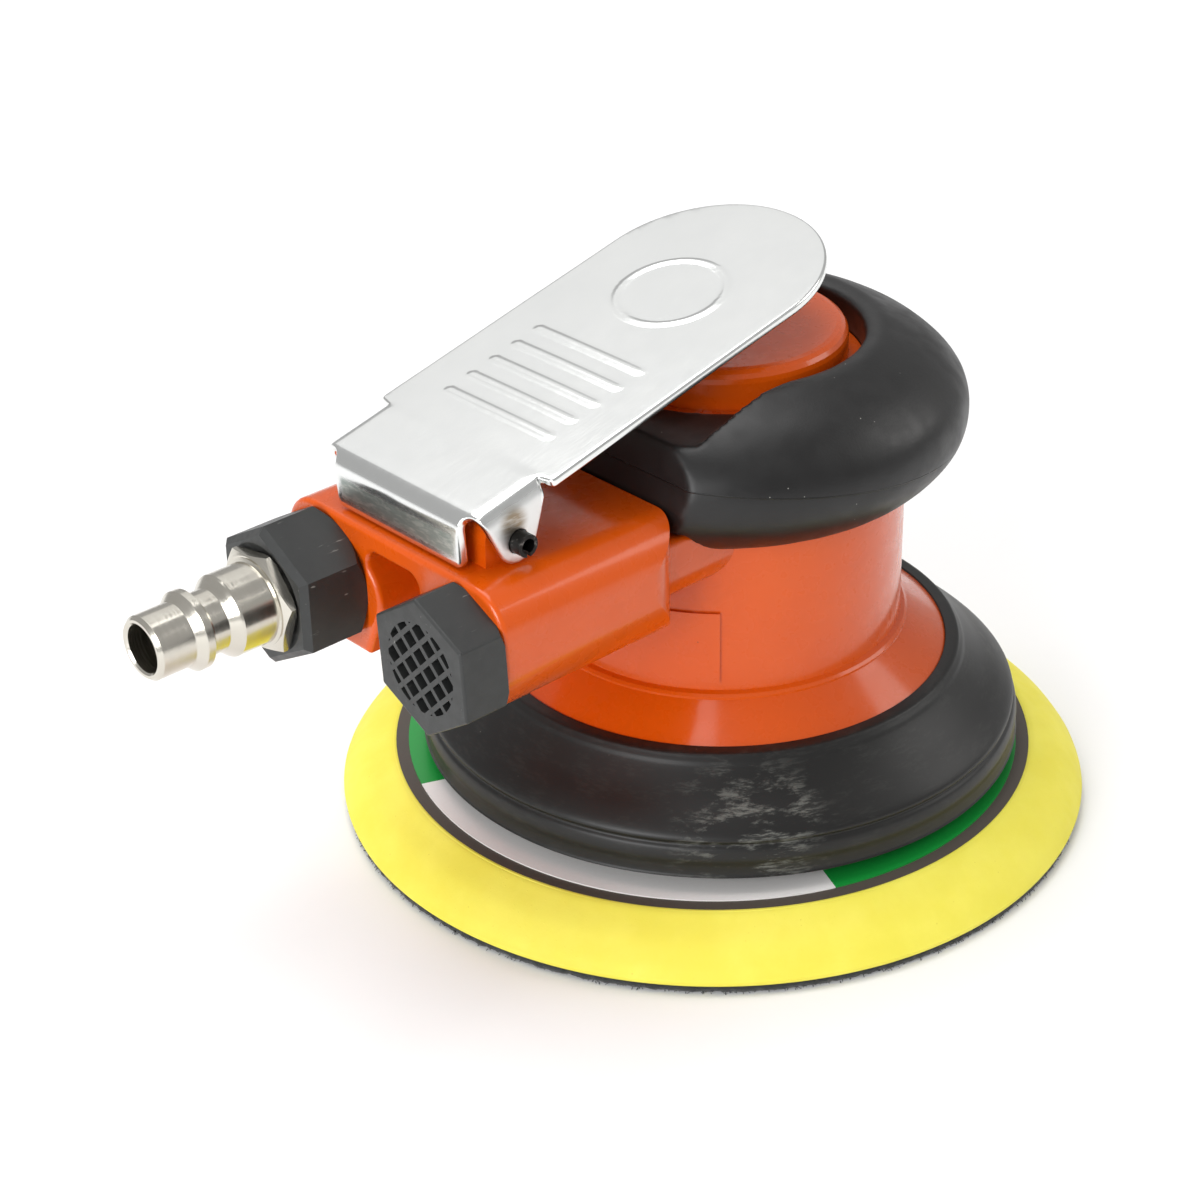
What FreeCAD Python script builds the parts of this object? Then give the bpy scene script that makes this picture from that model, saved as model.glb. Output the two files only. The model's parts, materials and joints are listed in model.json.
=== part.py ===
import FreeCAD, Part
import math
import os

import Sketcher
from FreeCAD import Placement, Rotation, Vector

# Pneumatic random-orbital palm sander, 125 mm pad, millimetres.
# +Z is up, the motor turns about Z through the origin, and the origin lies on the sanding face.
# The air inlet and the exhaust point along -X, the lever's paddle runs back over the cap along +X.

doc = FreeCAD.newDocument("PalmSander")

# ------------------------------------------------------------------ driving dimensions
DIMENSIONS = {
    # pad: a 5 inch pad that orbits on a circle of twice the offset
    "orbit_offset": 1.25,
    "orbit_bearing": 135.0,
    "pad_radius": 62.5,
    "hook_thickness": 1.6,
    "foam_top_radius": 53.1,
    "foam_top": 9.35,
    "plate_bottom": 6.8,
    "plate_top": 9.4,
    "plate_hub_radius": 12.0,
    "plate_hub_top": 10.6,
    "label_radius": 51.0,
    "label_thickness": 0.2,
    "label_hole": 13.0,
    "stud_radius": 3.97,
    # rubber shroud
    "shroud_bottom": 12.35,
    "shroud_radius": 49.7,
    "shroud_wall": 2.6,
    "shroud_crease": 18.6,
    "shroud_lip_radius": 39.2,
    "shroud_lip_top": 28.7,
    # housing
    "flange_radius": 37.2,
    "flange_bottom": 27.0,
    "flange_edge_top": 28.4,
    "foot_radius": 30.8,
    "foot_top": 33.6,
    "barrel_radius": 29.6,
    "dome_start": 66.0,
    "cap_radius": 20.0,
    "cap_top": 83.8,
    "cap_round": 2.0,
    "hole_radius": 22.5,
    "hole_floor": 77.5,
    "motor_bore": 24.0,
    "motor_bottom": 33.0,
    "motor_top": 69.9,
    "ring_bore": 27.0,
    # block with the two ports
    "block_front": -67.0,
    "block_rear": -31.6,
    "block_rear_corner": 6.0,
    "block_top": 69.4,
    "block_half_width": 25.0,
    "block_corner": 6.5,
    "port_spacing": 32.0,
    "port_height": 58.5,
    "port_barrel": 10.7,
    "port_barrel_shift": 1.4,
    "slab_thickness": 3.4,
    "pocket_rear": -50.0,
    "port_thread": 8.2,
    "passage_radius": 3.5,
    "valve_chamber": 5.5,
    "neck_half_width": 22.5,
    "neck_bottom": 53.0,
    "neck_top": 65.0,
    "neck_corner": 6.5,
    # comfort grip
    "grip_radius": 39.2,
    "grip_middle": 70.5,
    "grip_bottom": 60.3,
    "grip_rim": 83.3,
    "channel_floor": 78.5,
    "channel_half_width": 21.9,
    "grip_flat_forward": -31.2,
    "grip_flat_slope": 14.2,
    # lever and its pin
    "lever_thickness": 1.5,
    "lever_tilt": 13.5,
    "fold_forward": -65.8,
    "fold_height": 78.3,
    "lever_tip": 14.5,
    "lever_half_width": 19.3,
    "lip_half_width": 14.2,
    "lip_bottom": 69.9,
    "ear_outer": 18.0,
    "ear_radius": 3.5,
    "pin_forward": -57.8,
    "pin_height": 73.2,
    "pin_radius": 1.75,
    "pin_length": 40.2,
    "lug_half_width": 15.6,
    # inlet, exhaust and quick-connect plug
    "bushing_hex": 11.5,
    "bushing_face": -78.5,
    "muffler_hex": 10.95,
    "muffler_face": -75.0,
    "window_radius": 7.15,
    "lattice_pitch": 2.85,
    "lattice_bar": 0.75,
    "plug_tip": -100.3,
    "plug_nose": 5.0,
    "plug_bore": 3.75,
    # throttle valve
    "seat_face": -58.9,
    "seat_rear": -57.5,
    "chamber_rear": -43.9,
    "stem_forward": -46.5,
    "stem_radius": 2.0,
    "stem_top": 81.2,
    "tip_rod": 1.4,
    "spool_forward": -39.4,
    "spool_radius": 4.2,
    # air motor
    "rotor_radius": 17.0,
    "cylinder_bore": 19.6,
    "cylinder_shift": 2.4,
    "rotor_bottom": 42.0,
    "rotor_top": 62.0,
    "shaft_radius": 5.5,
    "vane_count": 5.0,
    "vane_slot": 2.0,
    # crank and spindle
    "cup_radius": 16.8,
    "cup_bottom": 13.6,
    "cup_top": 31.0,
    "bearing_radius": 14.0,
    "spindle_radius": 6.0,
    "weight_radius": 31.0,
    "running": 0.02,
}

sheet = doc.addObject("Spreadsheet::Sheet", "Dims")
for row, (alias, number) in enumerate(DIMENSIONS.items(), start=1):
    sheet.set(f"A{row}", alias)
    sheet.set(f"B{row}", str(number))
    sheet.setAlias(f"B{row}", alias)
doc.recompute()


class Size:
    """A number from the sheet together with the expression that gives it."""

    def __init__(self, value, text):
        self.value = float(value)
        self.text = text

    def __float__(self):
        return self.value

    def __add__(self, other):
        other = as_size(other)
        return Size(self.value + other.value, f"({self.text} + {other.text})")

    def __sub__(self, other):
        other = as_size(other)
        return Size(self.value - other.value, f"({self.text} - {other.text})")

    def __rsub__(self, other):
        return as_size(other) - self

    def __mul__(self, other):
        other = as_size(other)
        return Size(self.value * other.value, f"({self.text} * {other.text})")

    def __truediv__(self, other):
        other = as_size(other)
        return Size(self.value / other.value, f"({self.text} / {other.text})")

    def __neg__(self):
        return Size(-self.value, f"(0 - {self.text})")

    __radd__ = __add__
    __rmul__ = __mul__


def as_size(number):
    if isinstance(number, Size):
        return number
    return Size(number, f"({number})")


class Dimensions:
    """D.pad_radius is the sheet's cell pad_radius."""

    def __getattr__(self, alias):
        return Size(DIMENSIONS[alias], f"Dims.{alias}")


D = Dimensions()


def cosine(angle):
    return Size(math.cos(math.radians(float(angle))), f"cos({angle.text} * 1 deg)")


def sine(angle):
    return Size(math.sin(math.radians(float(angle))), f"sin({angle.text} * 1 deg)")


# ------------------------------------------------------------------ building helpers
AXES = {
    "Z": Rotation(),
    "X": Rotation(Vector(0, 1, 0), 90),
    "Y": Rotation(Vector(1, 0, 0), -90),
}
PARTS = []


def bind(obj, **sizes):
    for name, size in sizes.items():
        obj.setExpression(name, as_size(size).text)


def place(obj, x, y, z, axis="Z", turn=0.0):
    obj.Placement = Placement(Vector(), AXES[axis] * Rotation(Vector(0, 0, 1), turn))
    for name, size in (("x", x), ("y", y), ("z", z)):
        obj.setExpression(f"Placement.Base.{name}", as_size(size).text)
    return obj


def keep(obj, label):
    """Mark an object as a finished sub-part under its own name."""
    obj.Label = label
    PARTS.append(obj)
    return obj


def box(x, y, z):
    """A box from three (low, high) pairs."""
    obj = doc.addObject("Part::Box", "Block")
    low = [as_size(pair[0]) for pair in (x, y, z)]
    span = [as_size(pair[1]) - as_size(pair[0]) for pair in (x, y, z)]
    bind(obj, Length=span[0], Width=span[1], Height=span[2])
    return place(obj, *low)


def rod(radius, start, end, x=0, y=0, z=0, axis="Z"):
    """A cylinder along an axis from start to end; its other two coordinates are given."""
    obj = doc.addObject("Part::Cylinder", "Rod")
    bind(obj, Radius=radius, Height=as_size(end) - as_size(start))
    base = {"X": (start, y, z), "Y": (x, start, z), "Z": (x, y, start)}[axis]
    return place(obj, *base, axis=axis)


def hexagon(radius, start, end, x=0, y=0, z=0, axis="Z", turn=0.0):
    obj = doc.addObject("Part::Prism", "Hexagon")
    obj.Polygon = 6
    bind(obj, Circumradius=radius, Height=as_size(end) - as_size(start))
    base = {"X": (start, y, z), "Y": (x, start, z), "Z": (x, y, start)}[axis]
    return place(obj, *base, axis=axis, turn=turn)


def ring(radius, section, x=0, y=0, z=0, axis="Z"):
    """An O-ring: a torus about an axis."""
    obj = doc.addObject("Part::Torus", "Ring")
    bind(obj, Radius1=radius, Radius2=section)
    return place(obj, x, y, z, axis=axis)


def fuse(*pieces):
    obj = doc.addObject("Part::MultiFuse", "Fusion")
    obj.Shapes = list(pieces)
    obj.Refine = True
    return obj


def common(*pieces):
    obj = doc.addObject("Part::MultiCommon", "Common")
    obj.Shapes = list(pieces)
    return obj


def cut(base, *tools):
    obj = doc.addObject("Part::Cut", "Cut")
    obj.Base = base
    obj.Tool = tools[0] if len(tools) == 1 else fuse(*tools)
    return obj


def softened(kind, base, size, chosen):
    """Part::Fillet or Part::Chamfer on the edges of base that chosen picks."""
    doc.recompute()
    obj = doc.addObject(kind, "Softened")
    obj.Base = base
    edges = enumerate(base.Shape.Edges, start=1)
    obj.Edges = [(i, size, size) for i, edge in edges if chosen(edge)]
    return obj


def lies_at(edge, **wanted):
    """True if both ends of an edge are at a coordinate, such as x=-67."""
    ends = [vertex.Point for vertex in edge.Vertexes]
    return all(abs(getattr(end, axis) - value) < 1e-4 for end in ends for axis, value in wanted.items())


def group(*pieces):
    """Separate solids that make one node."""
    obj = doc.addObject("Part::Compound", "Group")
    obj.Links = list(pieces)
    return obj


def feature(shape):
    """A shape made with Part's own functions, where no feature of the document fits."""
    obj = doc.addObject("Part::Feature", "Shaped")
    obj.Shape = shape
    return obj


def origin_plane(body, role):
    return next(item for item in body.Origin.OriginFeatures if item.Role == role)


def turned(outline, x=0, y=0, z=0, axis="Z", turn=0.0):
    """A PartDesign body: a closed outline of (radius, height) corners turned about the axis."""
    body = doc.addObject("PartDesign::Body", "Turned")
    sketch = body.newObject("Sketcher::SketchObject", "Outline")
    sketch.AttachmentSupport = (origin_plane(body, "XZ_Plane"), [""])
    sketch.MapMode = "FlatFace"
    corners = [(as_size(r), as_size(h)) for r, h in outline]
    count = len(corners)
    for i, (r, h) in enumerate(corners):
        r_next, h_next = corners[(i + 1) % count]
        start = Vector(float(r), float(h), 0)
        end = Vector(float(r_next), float(h_next), 0)
        sketch.addGeometry(Part.LineSegment(start, end), False)
    for i in range(count):
        sketch.addConstraint(Sketcher.Constraint("Coincident", i, 2, (i + 1) % count, 1))
    for i, (r, h) in enumerate(corners):
        if float(r) == 0:
            sketch.addConstraint(Sketcher.Constraint("PointOnObject", i, 1, -2))
        else:
            across = sketch.addConstraint(Sketcher.Constraint("DistanceX", -1, 1, i, 1, float(r)))
            sketch.setExpression(f"Constraints[{across}]", r.text)
        up = sketch.addConstraint(Sketcher.Constraint("DistanceY", -1, 1, i, 1, float(h)))
        sketch.setExpression(f"Constraints[{up}]", h.text)
    revolution = body.newObject("PartDesign::Revolution", "Revolution")
    revolution.Profile = sketch
    revolution.ReferenceAxis = (sketch, ["V_Axis"])
    revolution.Angle = 360.0
    return place(body, x, y, z, axis=axis, turn=turn)


def tube(outer, inner, start, end, **where):
    return cut(rod(outer, start, end, **where), rod(inner, start - 1, end + 1, **where))


# ------------------------------------------------------------------ places that several parts share
PORT_Y = D.port_spacing / 2
PORT_Z = D.port_height
ORBIT_X = D.orbit_offset * cosine(D.orbit_bearing)
ORBIT_Y = D.orbit_offset * sine(D.orbit_bearing)
ON_ORBIT = {"x": ORBIT_X, "y": ORBIT_Y}
INLET = {"y": PORT_Y, "z": PORT_Z, "axis": "X"}
EXHAUST = {"y": -PORT_Y, "z": PORT_Z, "axis": "X"}
# A turned piece has a seam line; this much turn puts it on a flat of a hexagon and not on its corner.
SEAM_ON_FLAT = 30.0
SEAL_SECTION = 0.8


# ------------------------------------------------------------------ pad
def build_pad():
    foam = turned([(0, D.hook_thickness), (D.pad_radius - 0.6, D.hook_thickness),
                   (D.pad_radius, D.hook_thickness + 0.7), (D.pad_radius - 0.9, D.hook_thickness + 2.6),
                   (D.pad_radius - 4.6, D.foam_top - 2.4), (D.foam_top_radius + 0.6, D.foam_top - 0.05),
                   (D.foam_top_radius, D.foam_top), (D.foam_top_radius, D.plate_bottom),
                   (0, D.plate_bottom)], **ON_ORBIT)
    keep(foam, "pad_foam")
    hook = turned([(0, 0), (D.pad_radius - 0.5, 0), (D.pad_radius - 0.3, D.hook_thickness / 2),
                   (D.pad_radius - 0.5, D.hook_thickness), (0, D.hook_thickness)], **ON_ORBIT)
    keep(hook, "hook_face")
    plate = turned([(D.stud_radius, D.plate_bottom), (D.foam_top_radius, D.plate_bottom),
                    (D.foam_top_radius, D.plate_top), (D.plate_hub_radius, D.plate_top),
                    (D.plate_hub_radius, D.plate_hub_top), (D.stud_radius, D.plate_hub_top)], **ON_ORBIT)
    stud_head = hexagon(9, D.plate_bottom, D.plate_bottom + 1.6, **ON_ORBIT)
    keep(cut(plate, stud_head), "pad_backing_plate")
    stud = fuse(hexagon(9, D.plate_bottom, D.plate_bottom + 1.6, **ON_ORBIT),
                rod(D.stud_radius, D.plate_bottom, 21, **ON_ORBIT))
    keep(stud, "pad_stud")
    label = tube(D.label_radius, D.label_hole, D.plate_top, D.plate_top + D.label_thickness, **ON_ORBIT)
    keep(label, "pad_label")


# ------------------------------------------------------------------ spindle and crank
def build_spindle():
    blank = fuse(hexagon(10.2, D.plate_hub_top, 13.0, **ON_ORBIT),
                 rod(7.5, 12.9, 15.55, **ON_ORBIT),
                 rod(D.spindle_radius - D.running, 15.5, 28.9, **ON_ORBIT))
    clip_groove = tube(7, 5.4, 27.7, 28.5, **ON_ORBIT)
    thread_hole = rod(D.stud_radius, 10, 23, **ON_ORBIT)
    keep(cut(blank, clip_groove, thread_hole), "spindle")
    clip = cut(tube(7.3, 5.4, 27.7, 28.5, **ON_ORBIT),
               box((ORBIT_X + 4, ORBIT_X + 8), (ORBIT_Y - 1.5, ORBIT_Y + 1.5), (27, 29)))
    keep(clip, "spindle_clip")


def bearing(outer, bore, bottom, width, rows, x=0, y=0):
    """A ball bearing: two rings with a groove for each row of balls, and the balls."""
    pitch = (outer + bore) / 2
    ball = (outer - bore) * 0.25
    gap = (outer - bore) * 0.17
    grooves = []
    balls = []
    count = int(2 * math.pi * float(pitch) / (float(ball) * 2.7))
    for index in range(rows):
        height = bottom + width * ((index + 0.5) / rows)
        grooves.append(ring(pitch, ball + 0.03, x=x, y=y, z=height))
        for step in range(count):
            angle = 2 * math.pi * step / count
            sphere = doc.addObject("Part::Sphere", "Ball")
            bind(sphere, Radius=ball)
            place(sphere, x + pitch * math.cos(angle), y + pitch * math.sin(angle), height)
            balls.append(sphere)
    race_gap = tube(pitch + gap, pitch - gap, bottom - 1, bottom + width + 1, x=x, y=y)
    rings = cut(tube(outer, bore, bottom, bottom + width, x=x, y=y), race_gap, *grooves)
    return group(rings, *balls)


def build_crank():
    """The shaft balancer: an offset cup for the spindle bearing, a counterweight and the motor shaft."""
    cup = fuse(rod(D.cup_radius, D.cup_bottom, D.cup_top, **ON_ORBIT),
               rod(8, D.cup_top - 0.5, D.motor_bottom - 0.05),
               rod(D.spindle_radius - D.running, D.cup_top, D.rotor_bottom),
               rod(D.shaft_radius, D.rotor_bottom - 0.5, D.rotor_top - 0.1),
               rod(4 - D.running, D.rotor_top - 0.5, 71))
    weight_low, weight_high = 15.2, 24.4
    disc = tube(D.weight_radius, 15.6, weight_low, weight_high)
    weight = common(disc, feature(far_half(float(D.weight_radius) + 1, weight_low - 1, weight_high + 1)))
    pockets = [rod(D.bearing_radius, 12, 27.6, **ON_ORBIT), rod(11.5, 27, 29.3, **ON_ORBIT),
               tube(14.8, 13, 14.5, 15.5, **ON_ORBIT)]
    keyway = box((4.3, 7), (-1.2, 1.2), (47, 57))
    keep(cut(fuse(cup, weight), *pockets, keyway), "shaft_balancer")
    keep(bearing(D.bearing_radius, D.spindle_radius, as_size(15.6), as_size(12), 2, **ON_ORBIT),
         "spindle_bearing")
    retainer = cut(tube(14.75, 12.6, 14.5, 15.5, **ON_ORBIT),
                   box((ORBIT_X - 16, ORBIT_X - 11), (ORBIT_Y - 3, ORBIT_Y + 3), (14, 16)))
    keep(retainer, "bearing_retainer")
    keep(tube(D.bearing_radius, 7.6, 13.7, 14.4, **ON_ORBIT), "dust_shield")


def far_half(reach, low, high):
    """A box over the side of the axis away from the spindle."""
    slab = Part.makeBox(reach, 2 * reach, high - low, Vector(4.0, -reach, low))
    slab.rotate(Vector(), Vector(0, 0, 1), float(D.orbit_bearing) + 180)
    return slab


# ------------------------------------------------------------------ air motor
def build_motor():
    bottom, low, high, top = D.motor_bottom, D.rotor_bottom, D.rotor_top, D.motor_top
    fit_radius = D.motor_bore - 0.05
    ring_blank = tube(D.ring_bore, 20, D.flange_bottom + 0.2, bottom)
    notches = [box((19, 23.5), (-2.5, 2.5), (26, 30)), box((-23.5, -19), (-2.5, 2.5), (26, 30)),
               box((-2.5, 2.5), (19, 23.5), (26, 30)), box((-2.5, 2.5), (-23.5, -19), (26, 30))]
    keep(cut(ring_blank, *notches), "lock_ring")

    front = cut(rod(fit_radius, bottom, low), rod(D.bearing_radius, bottom - 1, low - 1),
                rod(7, bottom, low + 1))
    keep(front, "front_end_plate")
    keep(bearing(D.bearing_radius, D.spindle_radius, bottom, as_size(8), 1), "front_bearing")

    port_cuts = [rod(D.passage_radius - 0.2, -30, -8, **port) for port in (INLET, EXHAUST)]
    liner = cut(rod(fit_radius - 0.05, low, high),
                rod(D.cylinder_bore, low - 1, high + 1, x=-D.cylinder_shift),
                rod(1.5, high - 5, high + 1, x=22.2), *port_cuts)
    keep(liner, "motor_cylinder")
    keep(rod(1.5, high - 5, high + 4, x=22.2), "cylinder_pin")

    rear = cut(rod(fit_radius, high, top), rod(11, high + 0.8, top + 1), rod(5, high - 1, high + 2),
               rod(1.5, high - 1, high + 4, x=22.2), ring(D.motor_bore - 0.75, 0.75, z=high + 5.4))
    keep(rear, "rear_end_plate")
    keep(ring(D.motor_bore - 0.75, 0.72, z=high + 5.4), "motor_o_ring")
    keep(bearing(as_size(11), as_size(4), high + 0.8, as_size(7), 1), "rear_bearing")

    count = int(float(D.vane_count))
    blank = rod(D.rotor_radius, low + 0.2, high - 0.2)
    slots = Part.makeCompound([vane_box(2.0, 9.8, 18.0, 41.0, 63.0, step, count) for step in range(count)])
    keyway = box((4, 6.7), (-1.2, 1.2), (low, high))
    keep(cut(blank, rod(D.shaft_radius, low, high), keyway, feature(slots)), "rotor")
    vanes = [vane_box(1.9, 9.9, 16.9, 42.3, 61.7, step, count) for step in range(count)]
    keep(feature(Part.makeCompound(vanes)), "rotor_vanes")
    keep(box((4.3, 6.7), (-1.2, 1.2), (47, 57)), "rotor_key")


def vane_box(width, inner, outer, low, high, step, count):
    vane = Part.makeBox(outer - inner, width, high - low, Vector(inner, -width / 2, low))
    vane.rotate(Vector(), Vector(0, 0, 1), 360.0 * (step + 0.5) / count)
    return vane


# ------------------------------------------------------------------ housing
def build_housing():
    round_steps = 4
    cap_edge = []
    for step in range(round_steps + 1):
        angle = math.pi / 2 * step / round_steps
        cap_edge.append((D.cap_radius - D.cap_round + D.cap_round * math.cos(angle),
                         D.cap_top - D.cap_round + D.cap_round * math.sin(angle)))
    shell = turned([(0, D.flange_bottom), (D.flange_radius - 0.6, D.flange_bottom),
                    (D.flange_radius, D.flange_bottom + 0.5), (D.flange_radius, D.flange_edge_top),
                    (D.foot_radius, D.foot_top - 0.5), (D.foot_radius, D.foot_top - 0.1),
                    (D.foot_radius - 0.4, D.foot_top + 0.3), (D.barrel_radius, D.foot_top + 0.6),
                    (D.barrel_radius, D.dome_start), (D.hole_radius, D.hole_floor),
                    (D.cap_radius, D.hole_floor)] + cap_edge + [(0, D.cap_top)])
    patch = common(tube(D.barrel_radius + 0.45, D.barrel_radius - 1, 35.8, 48.0),
                   feature(sector(40, 34, 50, 180 - 45.5, 180 + 45.5)))
    solid = fuse(shell, patch, block_solid(), neck_solid(), lug_solid())
    bores = [rod(D.ring_bore, D.flange_bottom - 1, D.motor_bottom),
             rod(D.motor_bore, D.motor_bottom - 1, D.motor_top + 0.2),
             rod(14, D.motor_top, D.motor_top + 6)]
    inlet = [rod(D.port_thread, D.block_front - 1, D.seat_rear, **INLET),
             rod(D.valve_chamber, D.seat_rear - 1, D.chamber_rear, **INLET),
             rod(D.passage_radius, D.chamber_rear - 1, -17, **INLET),
             rod(4, PORT_Z + 4, D.block_top + 1, x=D.stem_forward, y=PORT_Y),
             rod(D.spool_radius + D.running, 10.5, 27, x=D.spool_forward, z=PORT_Z, axis="Y"),
             rod(0.75, 50, D.block_top - 3, x=D.spool_forward + 3.8, y=22.8)]
    exhaust = [rod(D.port_thread, D.block_front - 1, -57, **EXHAUST),
               rod(D.valve_chamber, -58, -42, **EXHAUST),
               rod(D.passage_radius, -43, -17, **EXHAUST)]
    pin_hole = rod(D.pin_radius, -20, 20, x=D.pin_forward, z=D.pin_height, axis="Y")
    keep(cut(solid, *bores, *inlet, *exhaust, pin_hole), "motor_housing")


def sector(radius, low, high, start, end):
    """A slice of a disc between two bearings, in degrees."""
    slab = Part.makeCylinder(radius, high - low, Vector(0, 0, low), Vector(0, 0, 1), end - start)
    slab.rotate(Vector(), Vector(0, 0, 1), start)
    return slab


def rounded_section(corners, radii):
    """A face in the YZ plane whose corners are rounded with tangent arcs."""
    edges = []
    arcs = []
    count = len(corners)
    for i, (corner, radius) in enumerate(zip(corners, radii)):
        before = (corners[i - 1] - corner).normalize()
        after = (corners[(i + 1) % count] - corner).normalize()
        half = before.getAngle(after) / 2
        reach = radius / math.tan(half)
        middle = (before + after).normalize() * (radius / math.sin(half) - radius)
        arcs.append((corner + before * reach, corner + middle, corner + after * reach))
    for i, (start, middle, end) in enumerate(arcs):
        edges.append(Part.Arc(start, middle, end).toShape())
        following = arcs[(i + 1) % count][0]
        if end.distanceToPoint(following) > 1e-6:
            edges.append(Part.LineSegment(end, following).toShape())
    return Part.Face(Part.Wire(edges))


def block_solid():
    """Two port barrels under a flat slab, with the hollow between them open at the front and below."""
    front, rear, top = float(D.block_front), float(D.block_rear), float(D.block_top)
    side, corner = float(D.block_half_width), float(D.block_corner)
    low = float(D.port_height - D.port_barrel)
    outline = [Vector(front, -side, low), Vector(front, side, low),
               Vector(front, side, top), Vector(front, -side, top)]
    lower = float(D.port_barrel)
    body = rounded_section(outline, [lower - 0.2, lower - 0.2, corner, corner])
    body = body.extrude(Vector(rear - front, 0, 0))
    inner = side - 2 * lower
    mouth, shoulder, roof = low - 8, low + lower, top - float(D.slab_thickness)
    half_gap = [(inner + lower * 0.62, mouth, 0.8), (inner - 1.2, shoulder, 6.0), (inner + 4.6, roof, 2.2)]
    both_sides = half_gap + [(-y, z, radius) for y, z, radius in reversed(half_gap)]
    gap = rounded_section([Vector(front - 1, y, z) for y, z, radius in both_sides],
                          [radius for y, z, radius in both_sides])
    gap = gap.extrude(Vector(float(D.pocket_rear) - front + 1, 0, 0))
    solid = body.common(rear_corners(front, rear, side)).cut(gap)
    rims = [edge for edge in solid.Edges if lies_at(edge, x=front)]
    return feature(solid.makeFillet(0.9, rims))


def rear_corners(front, rear, side):
    """The block's plan: square in front, with both rear corners rounded."""
    radius = float(D.block_rear_corner)
    turn = radius * (1 - math.sqrt(0.5))
    reach = side + 1
    low = float(D.port_height) - 20
    start = [Vector(front - 1, -reach, low), Vector(rear - radius, -reach, low),
             Vector(rear - radius, -side, low)]
    near = Part.Arc(start[-1], Vector(rear - turn, -side + turn, low), Vector(rear, -side + radius, low))
    far = Part.Arc(Vector(rear, side - radius, low), Vector(rear - turn, side - turn, low),
                   Vector(rear - radius, side, low))
    finish = [Vector(rear - radius, side, low), Vector(rear - radius, reach, low),
              Vector(front - 1, reach, low)]
    edges = [Part.LineSegment(a, b) for a, b in zip(start, start[1:])]
    edges += [near, Part.LineSegment(near.EndPoint, far.StartPoint), far]
    edges += [Part.LineSegment(a, b) for a, b in zip(finish, finish[1:] + start[:1])]
    plan = Part.Face(Part.Wire([edge.toShape() for edge in edges]))
    return plan.extrude(Vector(0, 0, 40))


def neck_solid():
    """The short duct that joins the block to the motor barrel below the grip."""
    side, low, top = (float(size) for size in (D.neck_half_width, D.neck_bottom, D.neck_top))
    start = float(D.block_rear) - 2
    outline = [Vector(start, -side, low), Vector(start, side, low),
               Vector(start, side, top), Vector(start, -side, top)]
    section = rounded_section(outline, [float(D.neck_corner)] * 2 + [1.0] * 2)
    return feature(section.extrude(Vector(-18 - start, 0, 0)))


def lug_solid():
    """The raised boss on top of the block that the lever's pin passes through."""
    across = D.lug_half_width
    foot = box((D.pin_forward - 4.2, D.pin_forward + 4.2), (-across, across), (D.block_top - 1, D.pin_height))
    return fuse(foot, rod(4.2, -across, across, x=D.pin_forward, z=D.pin_height, axis="Y"))


def build_shroud():
    """The rubber skirt: its lip hugs the flange's edge and a rim inside holds it from below."""
    outer, inner = D.shroud_radius, D.shroud_radius - D.shroud_wall
    flange, rim = D.flange_radius + 0.05, D.flange_radius - 4
    lip_top, crease, under = D.shroud_lip_top, D.shroud_crease, D.flange_bottom - 0.05
    keep(turned([(outer, D.shroud_bottom), (outer, crease - 1.6), (outer - 0.5, crease),
                 (D.shroud_lip_radius + 0.7, lip_top - 1), (D.shroud_lip_radius - 0.4, lip_top), (flange, lip_top),
                 (flange, under), (rim, under), (rim, under - 2.15), (flange - 0.65, under - 2.35),
                 (inner - 1.1, crease - 1.4), (inner, crease - 3.2), (inner, D.shroud_bottom)]), "shroud")


def build_grip():
    """The rubber ring: a domed section turned about the axis, cut by the lever's channel and the neck."""
    hole, rim = float(D.hole_radius), float(D.grip_rim)
    outer = [Vector(float(D.barrel_radius), 0, float(D.grip_bottom)), Vector(33.0, 0, 60.9),
             Vector(36.6, 0, 63.9), Vector(38.7, 0, 67.4), Vector(float(D.grip_radius), 0, float(D.grip_middle)),
             Vector(38.5, 0, 73.9), Vector(36.4, 0, 76.8), Vector(32.6, 0, 79.8), Vector(28.0, 0, 82.1),
             Vector(hole + 1.9, 0, rim), Vector(hole, 0, rim - 0.7)]
    spline = Part.BSplineCurve()
    spline.interpolate(outer)
    inner = [outer[-1], Vector(hole, 0, float(D.hole_floor)),
             Vector(float(D.barrel_radius), 0, float(D.dome_start)), outer[0]]
    edges = [spline.toShape()]
    edges += [Part.LineSegment(a, b).toShape() for a, b in zip(inner, inner[1:])]
    ring_solid = Part.Face(Part.Wire(edges)).revolve(Vector(), Vector(0, 0, 1), 360)
    channel = box((-45, 0), (-D.channel_half_width, D.channel_half_width), (D.channel_floor, 90))
    foot = box((-45, D.grip_flat_forward), (-30, 30), (55, D.block_top + 0.2))
    notch = box((-45, -18), (-D.neck_half_width - 0.3, D.neck_half_width + 0.3), (50, D.neck_top + 0.3))
    keep(cut(feature(ring_solid), channel, foot, leaning_face(), notch), "comfort_grip")


def leaning_face():
    """What the grip loses to the flat above the block, which leans towards the motor's axis."""
    low, high = float(D.block_top), 95.0
    start = float(D.grip_flat_forward)
    slope = math.tan(math.radians(float(D.grip_flat_slope)))
    corners = [Vector(-60, -30, low), Vector(start, -30, low),
               Vector(start + (high - low) * slope, -30, high), Vector(-60, -30, high)]
    face = Part.Face(Part.makePolygon(corners + corners[:1]))
    return feature(face.extrude(Vector(0, 60, 0)))


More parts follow.
